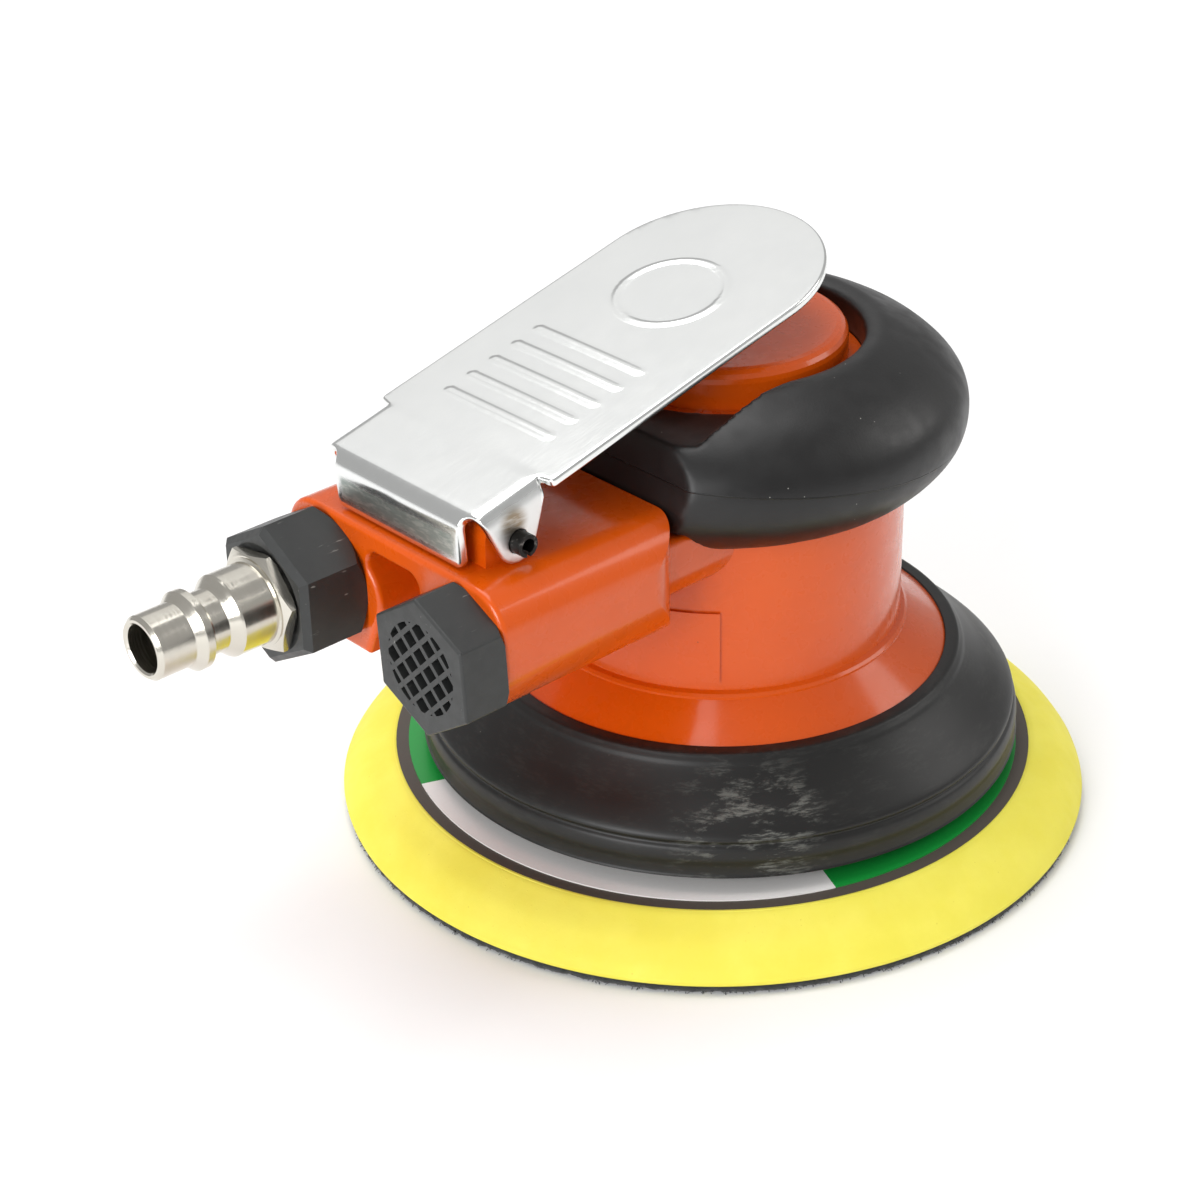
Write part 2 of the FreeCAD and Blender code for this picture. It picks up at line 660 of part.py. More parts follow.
# ------------------------------------------------------------------ inlet and exhaust
def build_inlet():
    face, front = D.bushing_face, D.block_front
    corner = D.bushing_hex
    prism = hexagon(corner, face, front, **INLET)
    prism = softened("Part::Chamfer", prism, 1.0, lambda edge: lies_at(edge, x=float(face)))
    bounds = turned([(0, face - 1), (corner + 1, face - 1), (corner + 1, front - 2.6), (corner - 1.5, front),
                     (0, front)], turn=SEAM_ON_FLAT, **INLET)
    dish = turned([(0, face - 1), (8.6, face - 1), (8.6, face), (7.0, face + 0.9), (0, face + 0.9)], **INLET)
    head = cut(common(bounds, prism), dish)
    spigot = rod(D.port_thread, front - 0.5, D.seat_face, **INLET)
    seal_start, seal_end = front + 0.5, front + 0.5 + 2 * SEAL_SECTION
    groove = tube(D.port_thread + 1, D.port_thread - SEAL_SECTION, seal_start, seal_end, **INLET)
    bores = [rod(6, face - 1, -68.5, **INLET), rod(4.2, -69, -65, **INLET),
             rod(6.2, -66, D.seat_face + 1, **INLET), groove]
    keep(cut(fuse(head, spigot), *bores), "inlet_bushing")
    seal = ring(D.port_thread - 0.02, SEAL_SECTION - 0.03, x=front + 0.5 + SEAL_SECTION, **INLET)
    keep(cut(seal, tube(11, D.port_thread - 0.01, front - 1, front + 3, **INLET)), "inlet_o_ring")

    tip = D.plug_tip
    nose, bore = D.plug_nose, D.plug_bore
    body = turned([(bore, tip + 0.3), (bore + 0.3, tip), (nose - 0.5, tip), (nose, tip + 0.6),
                   (nose, tip + 6.2), (nose + 1.15, tip + 7.5), (nose + 1.15, tip + 8.7), (nose - 0.1, tip + 9.6),
                   (nose - 0.1, tip + 12.2), (nose + 1.2, tip + 13.6), (nose + 1.4, tip + 13.9),
                   (nose + 1.4, tip + 19.6), (nose + 1.9, tip + 19.8), (nose + 1.9, tip + 20.6),
                   (6.0, tip + 20.7), (6.0, -69.5), (5.2, -68.7), (bore, -68.7)], **INLET)
    nut_bounds = turned([(0, tip + 19.9), (7.2, tip + 19.9), (8.7, tip + 20.7), (8.7, face - 0.5),
                         (8.0, face - 0.1), (0, face - 0.1)], **INLET)
    nut = common(nut_bounds, hexagon(8.6, tip + 19.9, face - 0.1, turn=20, **INLET))
    keep(cut(fuse(body, nut), rod(bore, tip - 1, -68, **INLET)), "air_plug")


def build_exhaust():
    face, front = D.muffler_face, D.block_front
    corner = D.muffler_hex
    prism = hexagon(corner, face, front, turn=-4, **EXHAUST)
    prism = softened("Part::Fillet", prism, 0.45, lambda edge: not lies_at(edge, x=float(front)))
    bounds = turned([(0, face - 1), (corner + 1, face - 1), (corner + 1, front - 1.6), (corner - 0.8, front),
                     (0, front)], turn=SEAM_ON_FLAT, **EXHAUST)
    head = common(bounds, prism)
    spigot = rod(D.port_thread, front - 0.5, -58, **EXHAUST)
    hollow = rod(D.window_radius, face + 1.3, -57, **EXHAUST)
    window = cut(rod(D.window_radius, face - 1, face + 1.5, **EXHAUST), lattice())
    keep(cut(fuse(head, spigot), hollow, window), "exhaust_muffler")
    keep(rod(D.window_radius - 0.05, face + 4.2, face + 12, **EXHAUST), "muffler_felt")


def lattice():
    """Crossed bars over the exhaust window, at 45 degrees."""
    reach = float(D.window_radius) + 1
    pitch, bar, depth = float(D.lattice_pitch), float(D.lattice_bar), 1.5
    bars = []
    for turn in (45, -45):
        for step in range(-3, 4):
            piece = Part.makeBox(depth, 2 * reach, bar, Vector(0, -reach, step * pitch - bar / 2))
            piece.rotate(Vector(), Vector(1, 0, 0), turn)
            bars.append(piece)
    net = bars[0].multiFuse(bars[1:])
    net.translate(Vector(float(D.muffler_face), -float(PORT_Y), float(PORT_Z)))
    return feature(net)


# ------------------------------------------------------------------ throttle valve and speed regulator
def build_valve():
    keep(tube(D.port_thread - 0.05, 4.2, D.seat_face, D.seat_rear, **INLET), "valve_seat")
    disc = rod(5.6, D.seat_face - 2, D.seat_face - 0.02, **INLET)
    rod_part = rod(D.tip_rod, D.seat_face - 0.5, D.chamber_rear - 0.4, **INLET)
    keep(fuse(disc, rod_part), "tip_valve")
    keep(feature(cone_spring(-65.9, float(D.seat_face) - 2.1, 5.0, 3.9, 0.3, 3.0)), "valve_spring")

    axis = {"x": D.stem_forward, "y": PORT_Y}
    sleeve = cut(fuse(rod(4, PORT_Z + 5.8, D.block_top, **axis),
                      rod(4.8, D.block_top, D.block_top + 1.4, **axis)),
                 rod(D.stem_radius + D.running, 60, 75, **axis))
    keep(sleeve, "valve_sleeve")
    stem_low = PORT_Z + D.tip_rod + 0.12
    stem = cut(fuse(rod(D.stem_radius, stem_low, D.stem_top - 1, **axis),
                    turned([(0, D.stem_top - 2.4), (2.9, D.stem_top - 2.4), (2.9, D.stem_top - 1.6),
                            (2.2, D.stem_top - 0.8), (1.2, D.stem_top - 0.25), (0, D.stem_top)], **axis)),
               ring(D.stem_radius, 0.45, z=67.2, **axis))
    keep(stem, "valve_stem")
    keep(cut(ring(D.stem_radius - 0.02, 0.42, z=67.2, **axis), tube(4, D.stem_radius, 66, 69, **axis)),
         "stem_o_ring")

    spool_axis = {"x": D.spool_forward, "z": PORT_Z, "axis": "Y"}
    side = D.block_half_width
    spool = fuse(rod(D.spool_radius, 11, side + 0.5, **spool_axis),
                 rod(6.4, side + 0.3, side + 3.6, **spool_axis))
    cuts = [rod(D.passage_radius - 0.1, -50, -30, **INLET), tube(5, 3.0, 22.0, 23.6, **spool_axis),
            box((D.spool_forward - 7, D.spool_forward + 7), (side + 2.2, side + 5), (PORT_Z - 0.8, PORT_Z + 0.8)),
            ring(D.spool_radius, 0.55, x=D.spool_forward, y=20.6, z=PORT_Z, axis="Y")]
    keep(cut(spool, *cuts), "speed_regulator")
    keep(cut(ring(D.spool_radius - 0.02, 0.5, x=D.spool_forward, y=20.6, z=PORT_Z, axis="Y"),
             tube(6, D.spool_radius, 19, 22, **spool_axis)), "regulator_o_ring")
    keep(rod(0.75, 52, D.block_top - 3.2, x=D.spool_forward + 3.8, y=22.8), "regulator_pin")


def cone_spring(start, end, wide, narrow, wire, turns):
    """A conical coil about the inlet's axis."""
    count = int(turns * 12)
    points = []
    for step in range(count + 1):
        share = step / count
        radius = wide + (narrow - wide) * share
        angle = 2 * math.pi * turns * share
        points.append(Vector(start + wire + (end - start - 2 * wire) * share,
                             float(PORT_Y) + radius * math.cos(angle), float(PORT_Z) + radius * math.sin(angle)))
    path = Part.BSplineCurve()
    path.interpolate(points)
    edge = path.toShape()
    tangent = edge.tangentAt(edge.FirstParameter)
    section = Part.Wire(Part.Circle(points[0], tangent, wire).toShape())
    return Part.Wire(edge).makePipeShell([section], True, True)


# ------------------------------------------------------------------ lever
def build_lever():
    """A stamped sheet: the paddle, the folded front lip, and an ear each side for the pin."""
    thick = float(D.lever_thickness)
    tilt = math.radians(float(D.lever_tilt))
    fold = Vector(float(D.fold_forward), 0, float(D.fold_height))
    tip = Vector(float(D.lever_tip), 0, fold.z + (float(D.lever_tip) - fold.x) * math.tan(tilt))
    lip = Vector(fold.x + 0.5, 0, float(D.lip_bottom))
    sheet_metal = bent_strip(tip, fold, lip, 3.2, thick)
    width = float(D.lever_half_width)
    sheet_metal.translate(Vector(0, -width, 0))
    sheet_metal = sheet_metal.extrude(Vector(0, 2 * width, 0))
    lever = sheet_metal.common(paddle_outline(fold, tip, width))

    pin = Vector(float(D.pin_forward), 0, float(D.pin_height))
    rear_top = Vector(-53.1, 0, fold.z + (-53.1 - fold.x) * math.tan(tilt) - thick * 0.4)
    front_top = Vector(-63.4, 0, fold.z + (-63.4 - fold.x) * math.tan(tilt) - thick * 0.4)
    ear_radius = float(D.ear_radius)
    for side in (1, -1):
        outer = side * float(D.ear_outer)
        ear = ear_plate(front_top, rear_top, pin, ear_radius)
        ear.translate(Vector(0, outer, 0))
        lever = lever.fuse(ear.extrude(Vector(0, -side * thick, 0)))
    hole = Part.makeCylinder(float(D.pin_radius) + 0.04, 60, Vector(pin.x, -30, pin.z), Vector(0, 1, 0))
    keep(feature(lever.cut(hole).removeSplitter()), "throttle_lever")

    tube_outer = rod(D.pin_radius, -D.pin_length / 2, D.pin_length / 2, x=D.pin_forward, z=D.pin_height, axis="Y")
    tube_inner = rod(D.pin_radius - 0.6, -25, 25, x=D.pin_forward, z=D.pin_height, axis="Y")
    slot = box((D.pin_forward - 0.3, D.pin_forward + 0.3), (-25, 25), (D.pin_height - 3, D.pin_height))
    keep(cut(tube_outer, tube_inner, slot), "lever_pin")


def bent_strip(tip, fold, lip, radius, thick):
    """The sheet's side section in the XZ plane: two straights joined by a bend."""
    up = (tip - fold).normalize()
    down = (lip - fold).normalize()
    half = up.getAngle(down) / 2
    inward = (up + down).normalize()
    centre = fold + inward * (radius / math.sin(half))
    a_out, b_out = fold + up * (radius / math.tan(half)), fold + down * (radius / math.tan(half))
    middle_out = centre - inward * radius
    a_norm, b_norm = (centre - a_out).normalize(), (centre - b_out).normalize()
    a_in, b_in = a_out + a_norm * thick, b_out + b_norm * thick
    middle_in = centre - inward * (radius - thick)
    tip_in, lip_in = tip + a_norm * thick, lip + b_norm * thick
    edges = [Part.LineSegment(tip, a_out), Part.Arc(a_out, middle_out, b_out), Part.LineSegment(b_out, lip),
             Part.LineSegment(lip, lip_in), Part.LineSegment(lip_in, b_in), Part.Arc(b_in, middle_in, a_in),
             Part.LineSegment(a_in, tip_in), Part.LineSegment(tip_in, tip)]
    return Part.Face(Part.Wire([edge.toShape() for edge in edges]))


def paddle_outline(fold, tip, width):
    """The sheet's plan: a narrow lip, shoulders over the ears, parallel sides and a round end."""
    lip_half = float(D.lip_half_width)
    ear = float(D.ear_outer)
    half_side = [Vector(fold.x - 3, lip_half, 0), Vector(fold.x + 0.6, lip_half, 0),
                 Vector(fold.x + 2.2, ear - 1.2, 0), Vector(fold.x + 4.5, ear, 0),
                 Vector(-56.0, ear, 0), Vector(-53.6, width, 0), Vector(tip.x - width, width, 0)]
    mirrored = [Vector(p.x, -p.y, 0) for p in reversed(half_side)]
    edges = [Part.LineSegment(a, b).toShape() for a, b in zip(half_side, half_side[1:])]
    edges.append(Part.Arc(half_side[-1], Vector(tip.x - 0.05, 0, 0), mirrored[0]).toShape())
    edges += [Part.LineSegment(a, b).toShape() for a, b in zip(mirrored, mirrored[1:])]
    edges.append(Part.LineSegment(mirrored[-1], half_side[0]).toShape())
    face = Part.Face(Part.Wire(edges))
    face.translate(Vector(0, 0, 60))
    return face.extrude(Vector(0, 0, 50))


def ear_plate(front_top, rear_top, pin, radius):
    """One ear's outline in the XZ plane: its round foot is tangent to both straight edges."""
    left = tangent_point(front_top, pin, radius, 1)
    right = tangent_point(rear_top, pin, radius, -1)
    foot = pin - Vector(0, 0, radius)
    edges = [Part.LineSegment(front_top, left), Part.Arc(left, foot, right), Part.LineSegment(right, rear_top),
             Part.LineSegment(rear_top, front_top)]
    return Part.Face(Part.Wire([edge.toShape() for edge in edges]))


def tangent_point(point, centre, radius, side):
    """Where the line from a point touches a circle in the XZ plane."""
    away = point - centre
    distance = away.Length
    turn = math.acos(radius / distance) * side
    base = math.atan2(away.z, away.x) + turn
    return centre + Vector(radius * math.cos(base), 0, radius * math.sin(base))


# ------------------------------------------------------------------ assembly and export
for build in (build_pad, build_spindle, build_crank, build_motor, build_housing, build_shroud, build_grip,
              build_inlet, build_exhaust, build_valve, build_lever):
    build()
doc.recompute()

for obj in doc.Objects:
    if "Invalid" in obj.State or "Error" in obj.State:
        raise RuntimeError(f"{obj.Name} ({obj.Label}) did not compute: {obj.State}")
os.makedirs("parts", exist_ok=True)
for obj in PARTS:
    if obj.Shape.isNull() or not obj.Shape.isValid() or not obj.Shape.Solids:
        raise RuntimeError(f"{obj.Label} has no valid solid")
for obj in PARTS:
    obj.Shape.exportStep(f"parts/{obj.Label}.step")
    size = obj.Shape.BoundBox
    print(f"{obj.Label:20s} {len(obj.Shape.Solids):3d} solids {obj.Shape.Volume:10.1f} mm3  "
          f"x {size.XMin:7.2f} {size.XMax:7.2f}  y {size.YMin:7.2f} {size.YMax:7.2f}  "
          f"z {size.ZMin:6.2f} {size.ZMax:6.2f}")
print(len(PARTS), "parts")
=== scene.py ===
"""The looks of a pneumatic palm sander: finishes on its nodes, and finer pieces where a node is plain."""
import json
import math
import random

import bmesh
import bpy
from mathutils import Matrix, Vector, kdtree, noise
from mathutils.geometry import delaunay_2d_cdt


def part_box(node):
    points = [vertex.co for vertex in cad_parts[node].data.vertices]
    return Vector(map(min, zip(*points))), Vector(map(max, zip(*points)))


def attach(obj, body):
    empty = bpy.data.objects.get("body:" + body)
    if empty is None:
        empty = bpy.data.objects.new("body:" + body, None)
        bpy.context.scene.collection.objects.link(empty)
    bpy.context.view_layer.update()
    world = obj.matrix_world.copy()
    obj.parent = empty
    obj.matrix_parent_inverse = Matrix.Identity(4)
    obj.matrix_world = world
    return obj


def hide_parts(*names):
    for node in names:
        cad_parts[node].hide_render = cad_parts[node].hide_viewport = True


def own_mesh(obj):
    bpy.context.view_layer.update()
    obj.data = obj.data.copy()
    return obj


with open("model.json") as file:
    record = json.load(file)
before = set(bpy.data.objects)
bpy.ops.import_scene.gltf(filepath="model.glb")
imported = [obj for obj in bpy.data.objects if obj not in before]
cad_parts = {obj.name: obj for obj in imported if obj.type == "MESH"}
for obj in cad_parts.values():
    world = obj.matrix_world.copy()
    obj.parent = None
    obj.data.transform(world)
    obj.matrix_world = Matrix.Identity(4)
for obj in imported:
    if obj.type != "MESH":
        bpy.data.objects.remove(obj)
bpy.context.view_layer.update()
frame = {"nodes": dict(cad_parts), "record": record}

MM = 0.001
nodes = frame["nodes"]


# ------------------------------------------------------------------ camera, lights and floor
VIEW_BEARING = -42.0
VIEW_ELEVATION = 29.55
VIEW_ROLL = -1.1
VIEW_DISTANCE = 0.450
VIEW_LENS = 82.56
VIEW_SENSOR = 36.0
AIM_HEIGHT = 0.040
AIM_LEFT = 0.0196
AIM_DOWN = 0.0053
SKY_STRENGTH = 0.46
SOFTBOXES = (
    # name, place, aim, width, height, watts, colour
    ("lever_card", (0.24, 0.52, 0.66), (-0.02, 0, 0.09), 0.75, 0.5, 0.54, (1, 1, 1)),
    ("overhead", (-0.05, 0.28, 1.15), (0, 0.1, 0.04), 0.9, 0.9, 7.5, (1, 1, 1)),
    ("right_key", (0.62, -0.42, 0.50), (0, 0, 0.04), 0.40, 0.40, 1.4, (1.0, 0.985, 0.96)),
    ("front_fill", (-0.82, -0.22, 0.34), (0, 0, 0.04), 0.45, 0.40, 4.7, (0.98, 0.99, 1.0)),
)
FLOOR_HALF = 8.0


def add_camera():
    bearing, rise, roll = (math.radians(a) for a in (VIEW_BEARING, VIEW_ELEVATION, VIEW_ROLL))
    back = Vector((math.sin(bearing) * math.cos(rise), -math.cos(bearing) * math.cos(rise), math.sin(rise)))
    right = Vector((math.cos(bearing), math.sin(bearing), 0))
    up = back.cross(right)
    aim = Vector((0, 0, AIM_HEIGHT)) - AIM_LEFT * right - AIM_DOWN * up
    rolled_right = math.cos(roll) * right + math.sin(roll) * up
    rolled_up = -math.sin(roll) * right + math.cos(roll) * up
    data = bpy.data.cameras.new("camera")
    data.lens = VIEW_LENS
    data.sensor_width = VIEW_SENSOR
    camera = bpy.data.objects.new("camera", data)
    axes = Matrix((rolled_right, rolled_up, back)).transposed()
    camera.matrix_world = Matrix.Translation(aim + VIEW_DISTANCE * back) @ axes.to_4x4()
    bpy.context.scene.collection.objects.link(camera)
    bpy.context.scene.camera = camera


def add_softbox(name, place, aim, width, height, watts, colour):
    data = bpy.data.lights.new(name, "AREA")
    data.shape = "RECTANGLE"
    data.size, data.size_y = width, height
    data.energy = watts
    data.color = colour
    light = bpy.data.objects.new(name, data)
    light.location = place
    light.rotation_euler = (Vector(aim) - Vector(place)).to_track_quat("-Z", "Y").to_euler()
    bpy.context.scene.collection.objects.link(light)


def add_lights():
    world = bpy.data.worlds.new("studio")
    bpy.context.scene.world = world
    world.use_nodes = True
    background = world.node_tree.nodes["Background"]
    background.inputs["Color"].default_value = (1.0, 1.0, 1.0, 1.0)
    background.inputs["Strength"].default_value = SKY_STRENGTH
    for softbox in SOFTBOXES:
        add_softbox(*softbox)


def add_floor():
    half = FLOOR_HALF
    corners = [(-half, -half, 0), (half, -half, 0), (half, half, 0), (-half, half, 0)]
    mesh = bpy.data.meshes.new("floor")
    mesh.from_pydata(corners, [], [(0, 1, 2, 3)])
    floor = bpy.data.objects.new("floor", mesh)
    bpy.context.scene.collection.objects.link(floor)
    paint = Shader("floor_paper")
    paint.set(Roughness=0.9)
    paint.colour(paint.mix(paint.noise(6.0, 3), (0.965, 0.965, 0.965), (0.98, 0.98, 0.98)))
    floor.data.materials.append(paint.material)


# ------------------------------------------------------------------ shader helper
def linear(red, green, blue):
    """Linear light from display values of 0 to 255."""
    values = []
    for value in (red, green, blue):
        share = value / 255
        values.append(share / 12.92 if share <= 0.04045 else ((share + 0.055) / 1.055) ** 2.4)
    return tuple(values)


class Shader:
    """A node material laid out in the row's own coordinates. Lengths are in millimetres."""

    def __init__(self, name):
        self.material = bpy.data.materials.new(name)
        self.material.use_nodes = True
        self.tree = self.material.node_tree
        self.surface = self.tree.nodes["Principled BSDF"]
        self.place = self.tree.nodes.new("ShaderNodeTexCoord").outputs["Object"]
        self.normal = None

    def node(self, kind, **settings):
        node = self.tree.nodes.new(kind)
        for name, value in settings.items():
            setattr(node, name, value)
        return node

    def feed(self, socket, value):
        if isinstance(value, bpy.types.NodeSocket):
            self.tree.links.new(value, socket)
        elif isinstance(value, tuple) and len(value) == 3 and socket.type == "RGBA":
            socket.default_value = (*value, 1.0)
        else:
            socket.default_value = value

    def set(self, **values):
        """Sets shader inputs, such as Coat_Weight=0.5."""
        for name, value in values.items():
            self.feed(self.surface.inputs[name.replace("_", " ")], value)

    def colour(self, value):
        self.feed(self.surface.inputs["Base Color"], value)

    def stretched(self, stretch):
        """Coordinates squeezed by a factor along each axis, for streaks and grooves."""
        mapping = self.node("ShaderNodeMapping")
        self.feed(mapping.inputs["Vector"], self.place)
        mapping.inputs["Scale"].default_value = stretch
        return mapping.outputs[0]

    def noise(self, size, detail=2, rough=0.5, stretch=None, warp=0.0):
        node = self.node("ShaderNodeTexNoise")
        self.feed(node.inputs["Vector"], self.stretched(stretch) if stretch else self.place)
        node.inputs["Scale"].default_value = 1 / (size * MM)
        node.inputs["Detail"].default_value = detail
        node.inputs["Roughness"].default_value = rough
        node.inputs["Distortion"].default_value = warp
        return node.outputs["Fac"]

    def dots(self, size, inner, outer):
        """1 at scattered points about size apart, falling to 0 between the inner and outer share of size."""
        node = self.node("ShaderNodeTexVoronoi", feature="F1")
        self.feed(node.inputs["Vector"], self.place)
        node.inputs["Scale"].default_value = 1 / (size * MM)
        return self.span(node.outputs["Distance"], inner, outer, 1.0, 0.0)

    def math(self, operation, a, b=0.0, clamp=False):
        node = self.node("ShaderNodeMath", operation=operation, use_clamp=clamp)
        self.feed(node.inputs[0], a)
        self.feed(node.inputs[1], b)
        return node.outputs[0]

    def span(self, value, low, high, start=0.0, end=1.0):
        """value from low to high becomes start to end, smoothly and clamped."""
        node = self.node("ShaderNodeMapRange", interpolation_type="SMOOTHSTEP")
        for name, number in (("Value", value), ("From Min", low), ("From Max", high), ("To Min", start),
                             ("To Max", end)):
            self.feed(node.inputs[name], number)
        return node.outputs[0]

    def mix(self, share, first, second):
        node = self.node("ShaderNodeMix", data_type="RGBA")
        self.feed(node.inputs[0], share)
        self.feed(node.inputs[6], first)
        self.feed(node.inputs[7], second)
        return node.outputs[2]

    def axis(self, letter):
        """One coordinate, in millimetres."""
        node = self.node("ShaderNodeSeparateXYZ")
        self.feed(node.inputs[0], self.place)
        return self.math("MULTIPLY", node.outputs["XYZ".index(letter)], 1 / MM)

    def near(self, centre, reach, fade):
        """1 within reach of a place, falling to 0 over fade. Millimetres."""
        node = self.node("ShaderNodeVectorMath", operation="DISTANCE")
        self.feed(node.inputs[0], self.place)
        node.inputs[1].default_value = tuple(value * MM for value in centre)
        return self.span(node.outputs["Value"], reach * MM, (reach + fade) * MM, 1.0, 0.0)

    def bump(self, height, depth, strength=1.0):
        """Adds relief: height from 0 to 1 becomes a depth in millimetres."""
        node = self.node("ShaderNodeBump")
        node.inputs["Strength"].default_value = strength
        node.inputs["Distance"].default_value = depth * MM
        self.feed(node.inputs["Height"], height)
        if self.normal:
            self.feed(node.inputs["Normal"], self.normal)
        self.normal = node.outputs[0]
        self.feed(self.surface.inputs["Normal"], self.normal)


# ------------------------------------------------------------------ finishes, one for each material slot
def orange_paint():
    paint = Shader("orange_paint")
    tone = paint.noise(14.0, 4, 0.55)
    base = paint.mix(tone, linear(210, 79, 4), linear(220, 89, 8))
    specks = paint.dots(2.6, 0.035, 0.06)
    few = paint.span(paint.noise(5.0, 1), 0.66, 0.72)
    paint.colour(paint.mix(paint.math("MULTIPLY", specks, few), base, linear(140, 52, 12)))
    paint.set(Roughness=paint.span(paint.noise(3.0, 3), 0.3, 0.7, 0.24, 0.34), Coat_Weight=0.55,
              Coat_Roughness=0.11, Specular_IOR_Level=0.22)
    paint.bump(paint.noise(2.4, 2, 0.4), 0.005)
    paint.bump(paint.noise(6.5, 2), 0.08)
    return paint.material


def grip_rubber():
    rubber = Shader("grip_rubber")
    patches = rubber.span(rubber.noise(7.0, 2), 0.52, 0.62)
    dust = rubber.math("MULTIPLY", rubber.dots(2.2, 0.03, 0.055), patches)
    base = rubber.mix(rubber.noise(9.0, 4), linear(16, 15, 15), linear(22, 21, 21))
    rubber.colour(rubber.mix(dust, base, linear(150, 148, 142)))
    rubber.set(Roughness=rubber.span(rubber.noise(4.0, 4), 0.3, 0.7, 0.36, 0.47), Specular_IOR_Level=0.5)
    rubber.bump(rubber.noise(0.42, 2, 0.6), 0.014)
    rubber.bump(seam_line(rubber), 0.12)
    return rubber.material


def seam_line(shader):
    """A hairline round the grip where the halves of its mould met; the line dips towards the tip."""
    height, slope, half = 69.35, 0.128, 0.14
    rise = shader.math("ADD", shader.axis("Z"), shader.math("MULTIPLY", shader.axis("X"), slope))
    off = shader.math("ABSOLUTE", shader.math("SUBTRACT", rise, height))
    return shader.span(off, 0.0, half, 1.0, 0.0)


SHROUD_SCUFFS = (
    # centre, reach, fade
    ((-30, -37.5, 19.5), 3, 12),
    ((-24, -41, 26), 1, 6),
    ((44, -22, 15.5), 5, 13),
)


def shroud_rubber():
    rubber = Shader("shroud_rubber")
    base = rubber.mix(rubber.noise(10.0, 4), linear(17, 17, 16), linear(25, 24, 23))
    cloud = rubber.noise(5.0, 5, 0.7, stretch=(0.7, 0.8, 2.2))
    streak = rubber.noise(1.1, 4, 0.7, stretch=(0.35, 0.5, 3.2))
    scratched = rubber.span(streak, 0.42, 0.60, 0.1, 1.0)
    scuffed = rubber.math("MULTIPLY", rubber.span(cloud, 0.47, 0.60), scratched)
    front, lip, right = (rubber.near(*place) for place in SHROUD_SCUFFS)
    where = rubber.math("ADD", rubber.math("ADD", front, lip), right, clamp=True)
    mark = rubber.math("MULTIPLY", scuffed, rubber.math("ADD", where, 0.06, clamp=True))
    patches = rubber.span(rubber.noise(6.0, 2), 0.55, 0.62)
    dust = rubber.math("MULTIPLY", rubber.dots(2.6, 0.03, 0.055), patches)
    worn = rubber.math("MULTIPLY", mark, 0.46)
    share = rubber.math("ADD", worn, rubber.math("MULTIPLY", dust, 0.5), clamp=True)
    rubber.colour(rubber.mix(share, base, linear(142, 143, 136)))
    rubber.set(Roughness=rubber.span(mark, 0.0, 1.0, 0.42, 0.60), Specular_IOR_Level=0.42)
    rubber.bump(rubber.noise(0.6, 3, 0.6), 0.010)
    return rubber.material


def black_plastic():
    plastic = Shader("black_plastic")
    scratch = light_scratches(plastic)
    base = plastic.mix(plastic.noise(5.0, 4), linear(38, 39, 39), linear(50, 51, 50))
    plastic.colour(plastic.mix(scratch, base, linear(120, 120, 116)))
    plastic.set(Roughness=plastic.span(plastic.noise(1.6, 3), 0.3, 0.7, 0.36, 0.48), Specular_IOR_Level=0.5)
    plastic.bump(plastic.noise(0.35, 2, 0.6), 0.010)
    return plastic.material


def light_scratches(shader):
    """Sparse short light marks."""
    line = shader.noise(1.2, 2, 0.6, stretch=(0.35, 2.6, 1.4))
    patch = shader.noise(6.0, 3)
    return shader.math("MULTIPLY", shader.span(line, 0.66, 0.72), shader.span(patch, 0.50, 0.62))


def chrome_sheet():
    chrome = Shader("chrome_sheet")
    haze = chrome.noise(9.0, 4, 0.6)
    plate = chrome.mix(haze, (0.80, 0.81, 0.80), (0.87, 0.875, 0.86))
    rub = chrome.noise(1.5, 4, 0.65, stretch=(0.4, 0.6, 2.2))
    face = lip_face(chrome)
    film = chrome.mix(chrome.span(rub, 0.42, 0.68), linear(176, 186, 181), linear(218, 222, 216))
    plate = chrome.mix(face, plate, film)
    # A darker brownish tint on the chrome round each ear's roll, uneven in patches.
    right, left = (chrome.near((-58.6, side * 17.9, 76.4), 1.0, 2.2) for side in (1, -1))
    uneven = chrome.span(rub, 0.3, 0.6, 0.55, 1.0)
    ear_brown_tint = chrome.math("MULTIPLY", chrome.math("ADD", right, left), uneven)
    chrome.colour(chrome.mix(ear_brown_tint, plate, linear(150, 134, 112)))
    fine = chrome.noise(0.8, 4, 0.6, stretch=(0.12, 2.5, 1.0))
    ears = chrome.span(chrome.math("ABSOLUTE", chrome.axis("Y")), 17.3, 17.9, 0.0, 1.4)
    front = chrome.span(chrome.axis("X"), -53.6, -53.2, 1.0, 0.0)
    worn = chrome.math("MAXIMUM", face, chrome.math("MULTIPLY", ears, front))
    polish = chrome.span(fine, 0.3, 0.75, 0.15, 0.22)
    rough = chrome.math("ADD", polish, chrome.math("MULTIPLY", worn, 0.18))
    chrome.set(Metallic=1.0, Roughness=rough)
    chrome.bump(chrome.noise(13.0, 2), 0.05)
    return chrome.material


def lip_face(shader):
    """1 on the flat middle of the lever's front lip, where the plating is dull; 0 elsewhere."""
    low, high = 70.8, 74.4
    reach, front, soft = 12.2, -62.5, 1.1
    product = shader.span(shader.axis("Z"), low, low + soft)
    across = shader.math("ABSOLUTE", shader.axis("Y"))
    for value, edge in ((shader.axis("Z"), high), (across, reach), (shader.axis("X"), front)):
        product = shader.math("MULTIPLY", product, shader.span(value, edge, edge + soft, 1.0, 0.0))
    return product


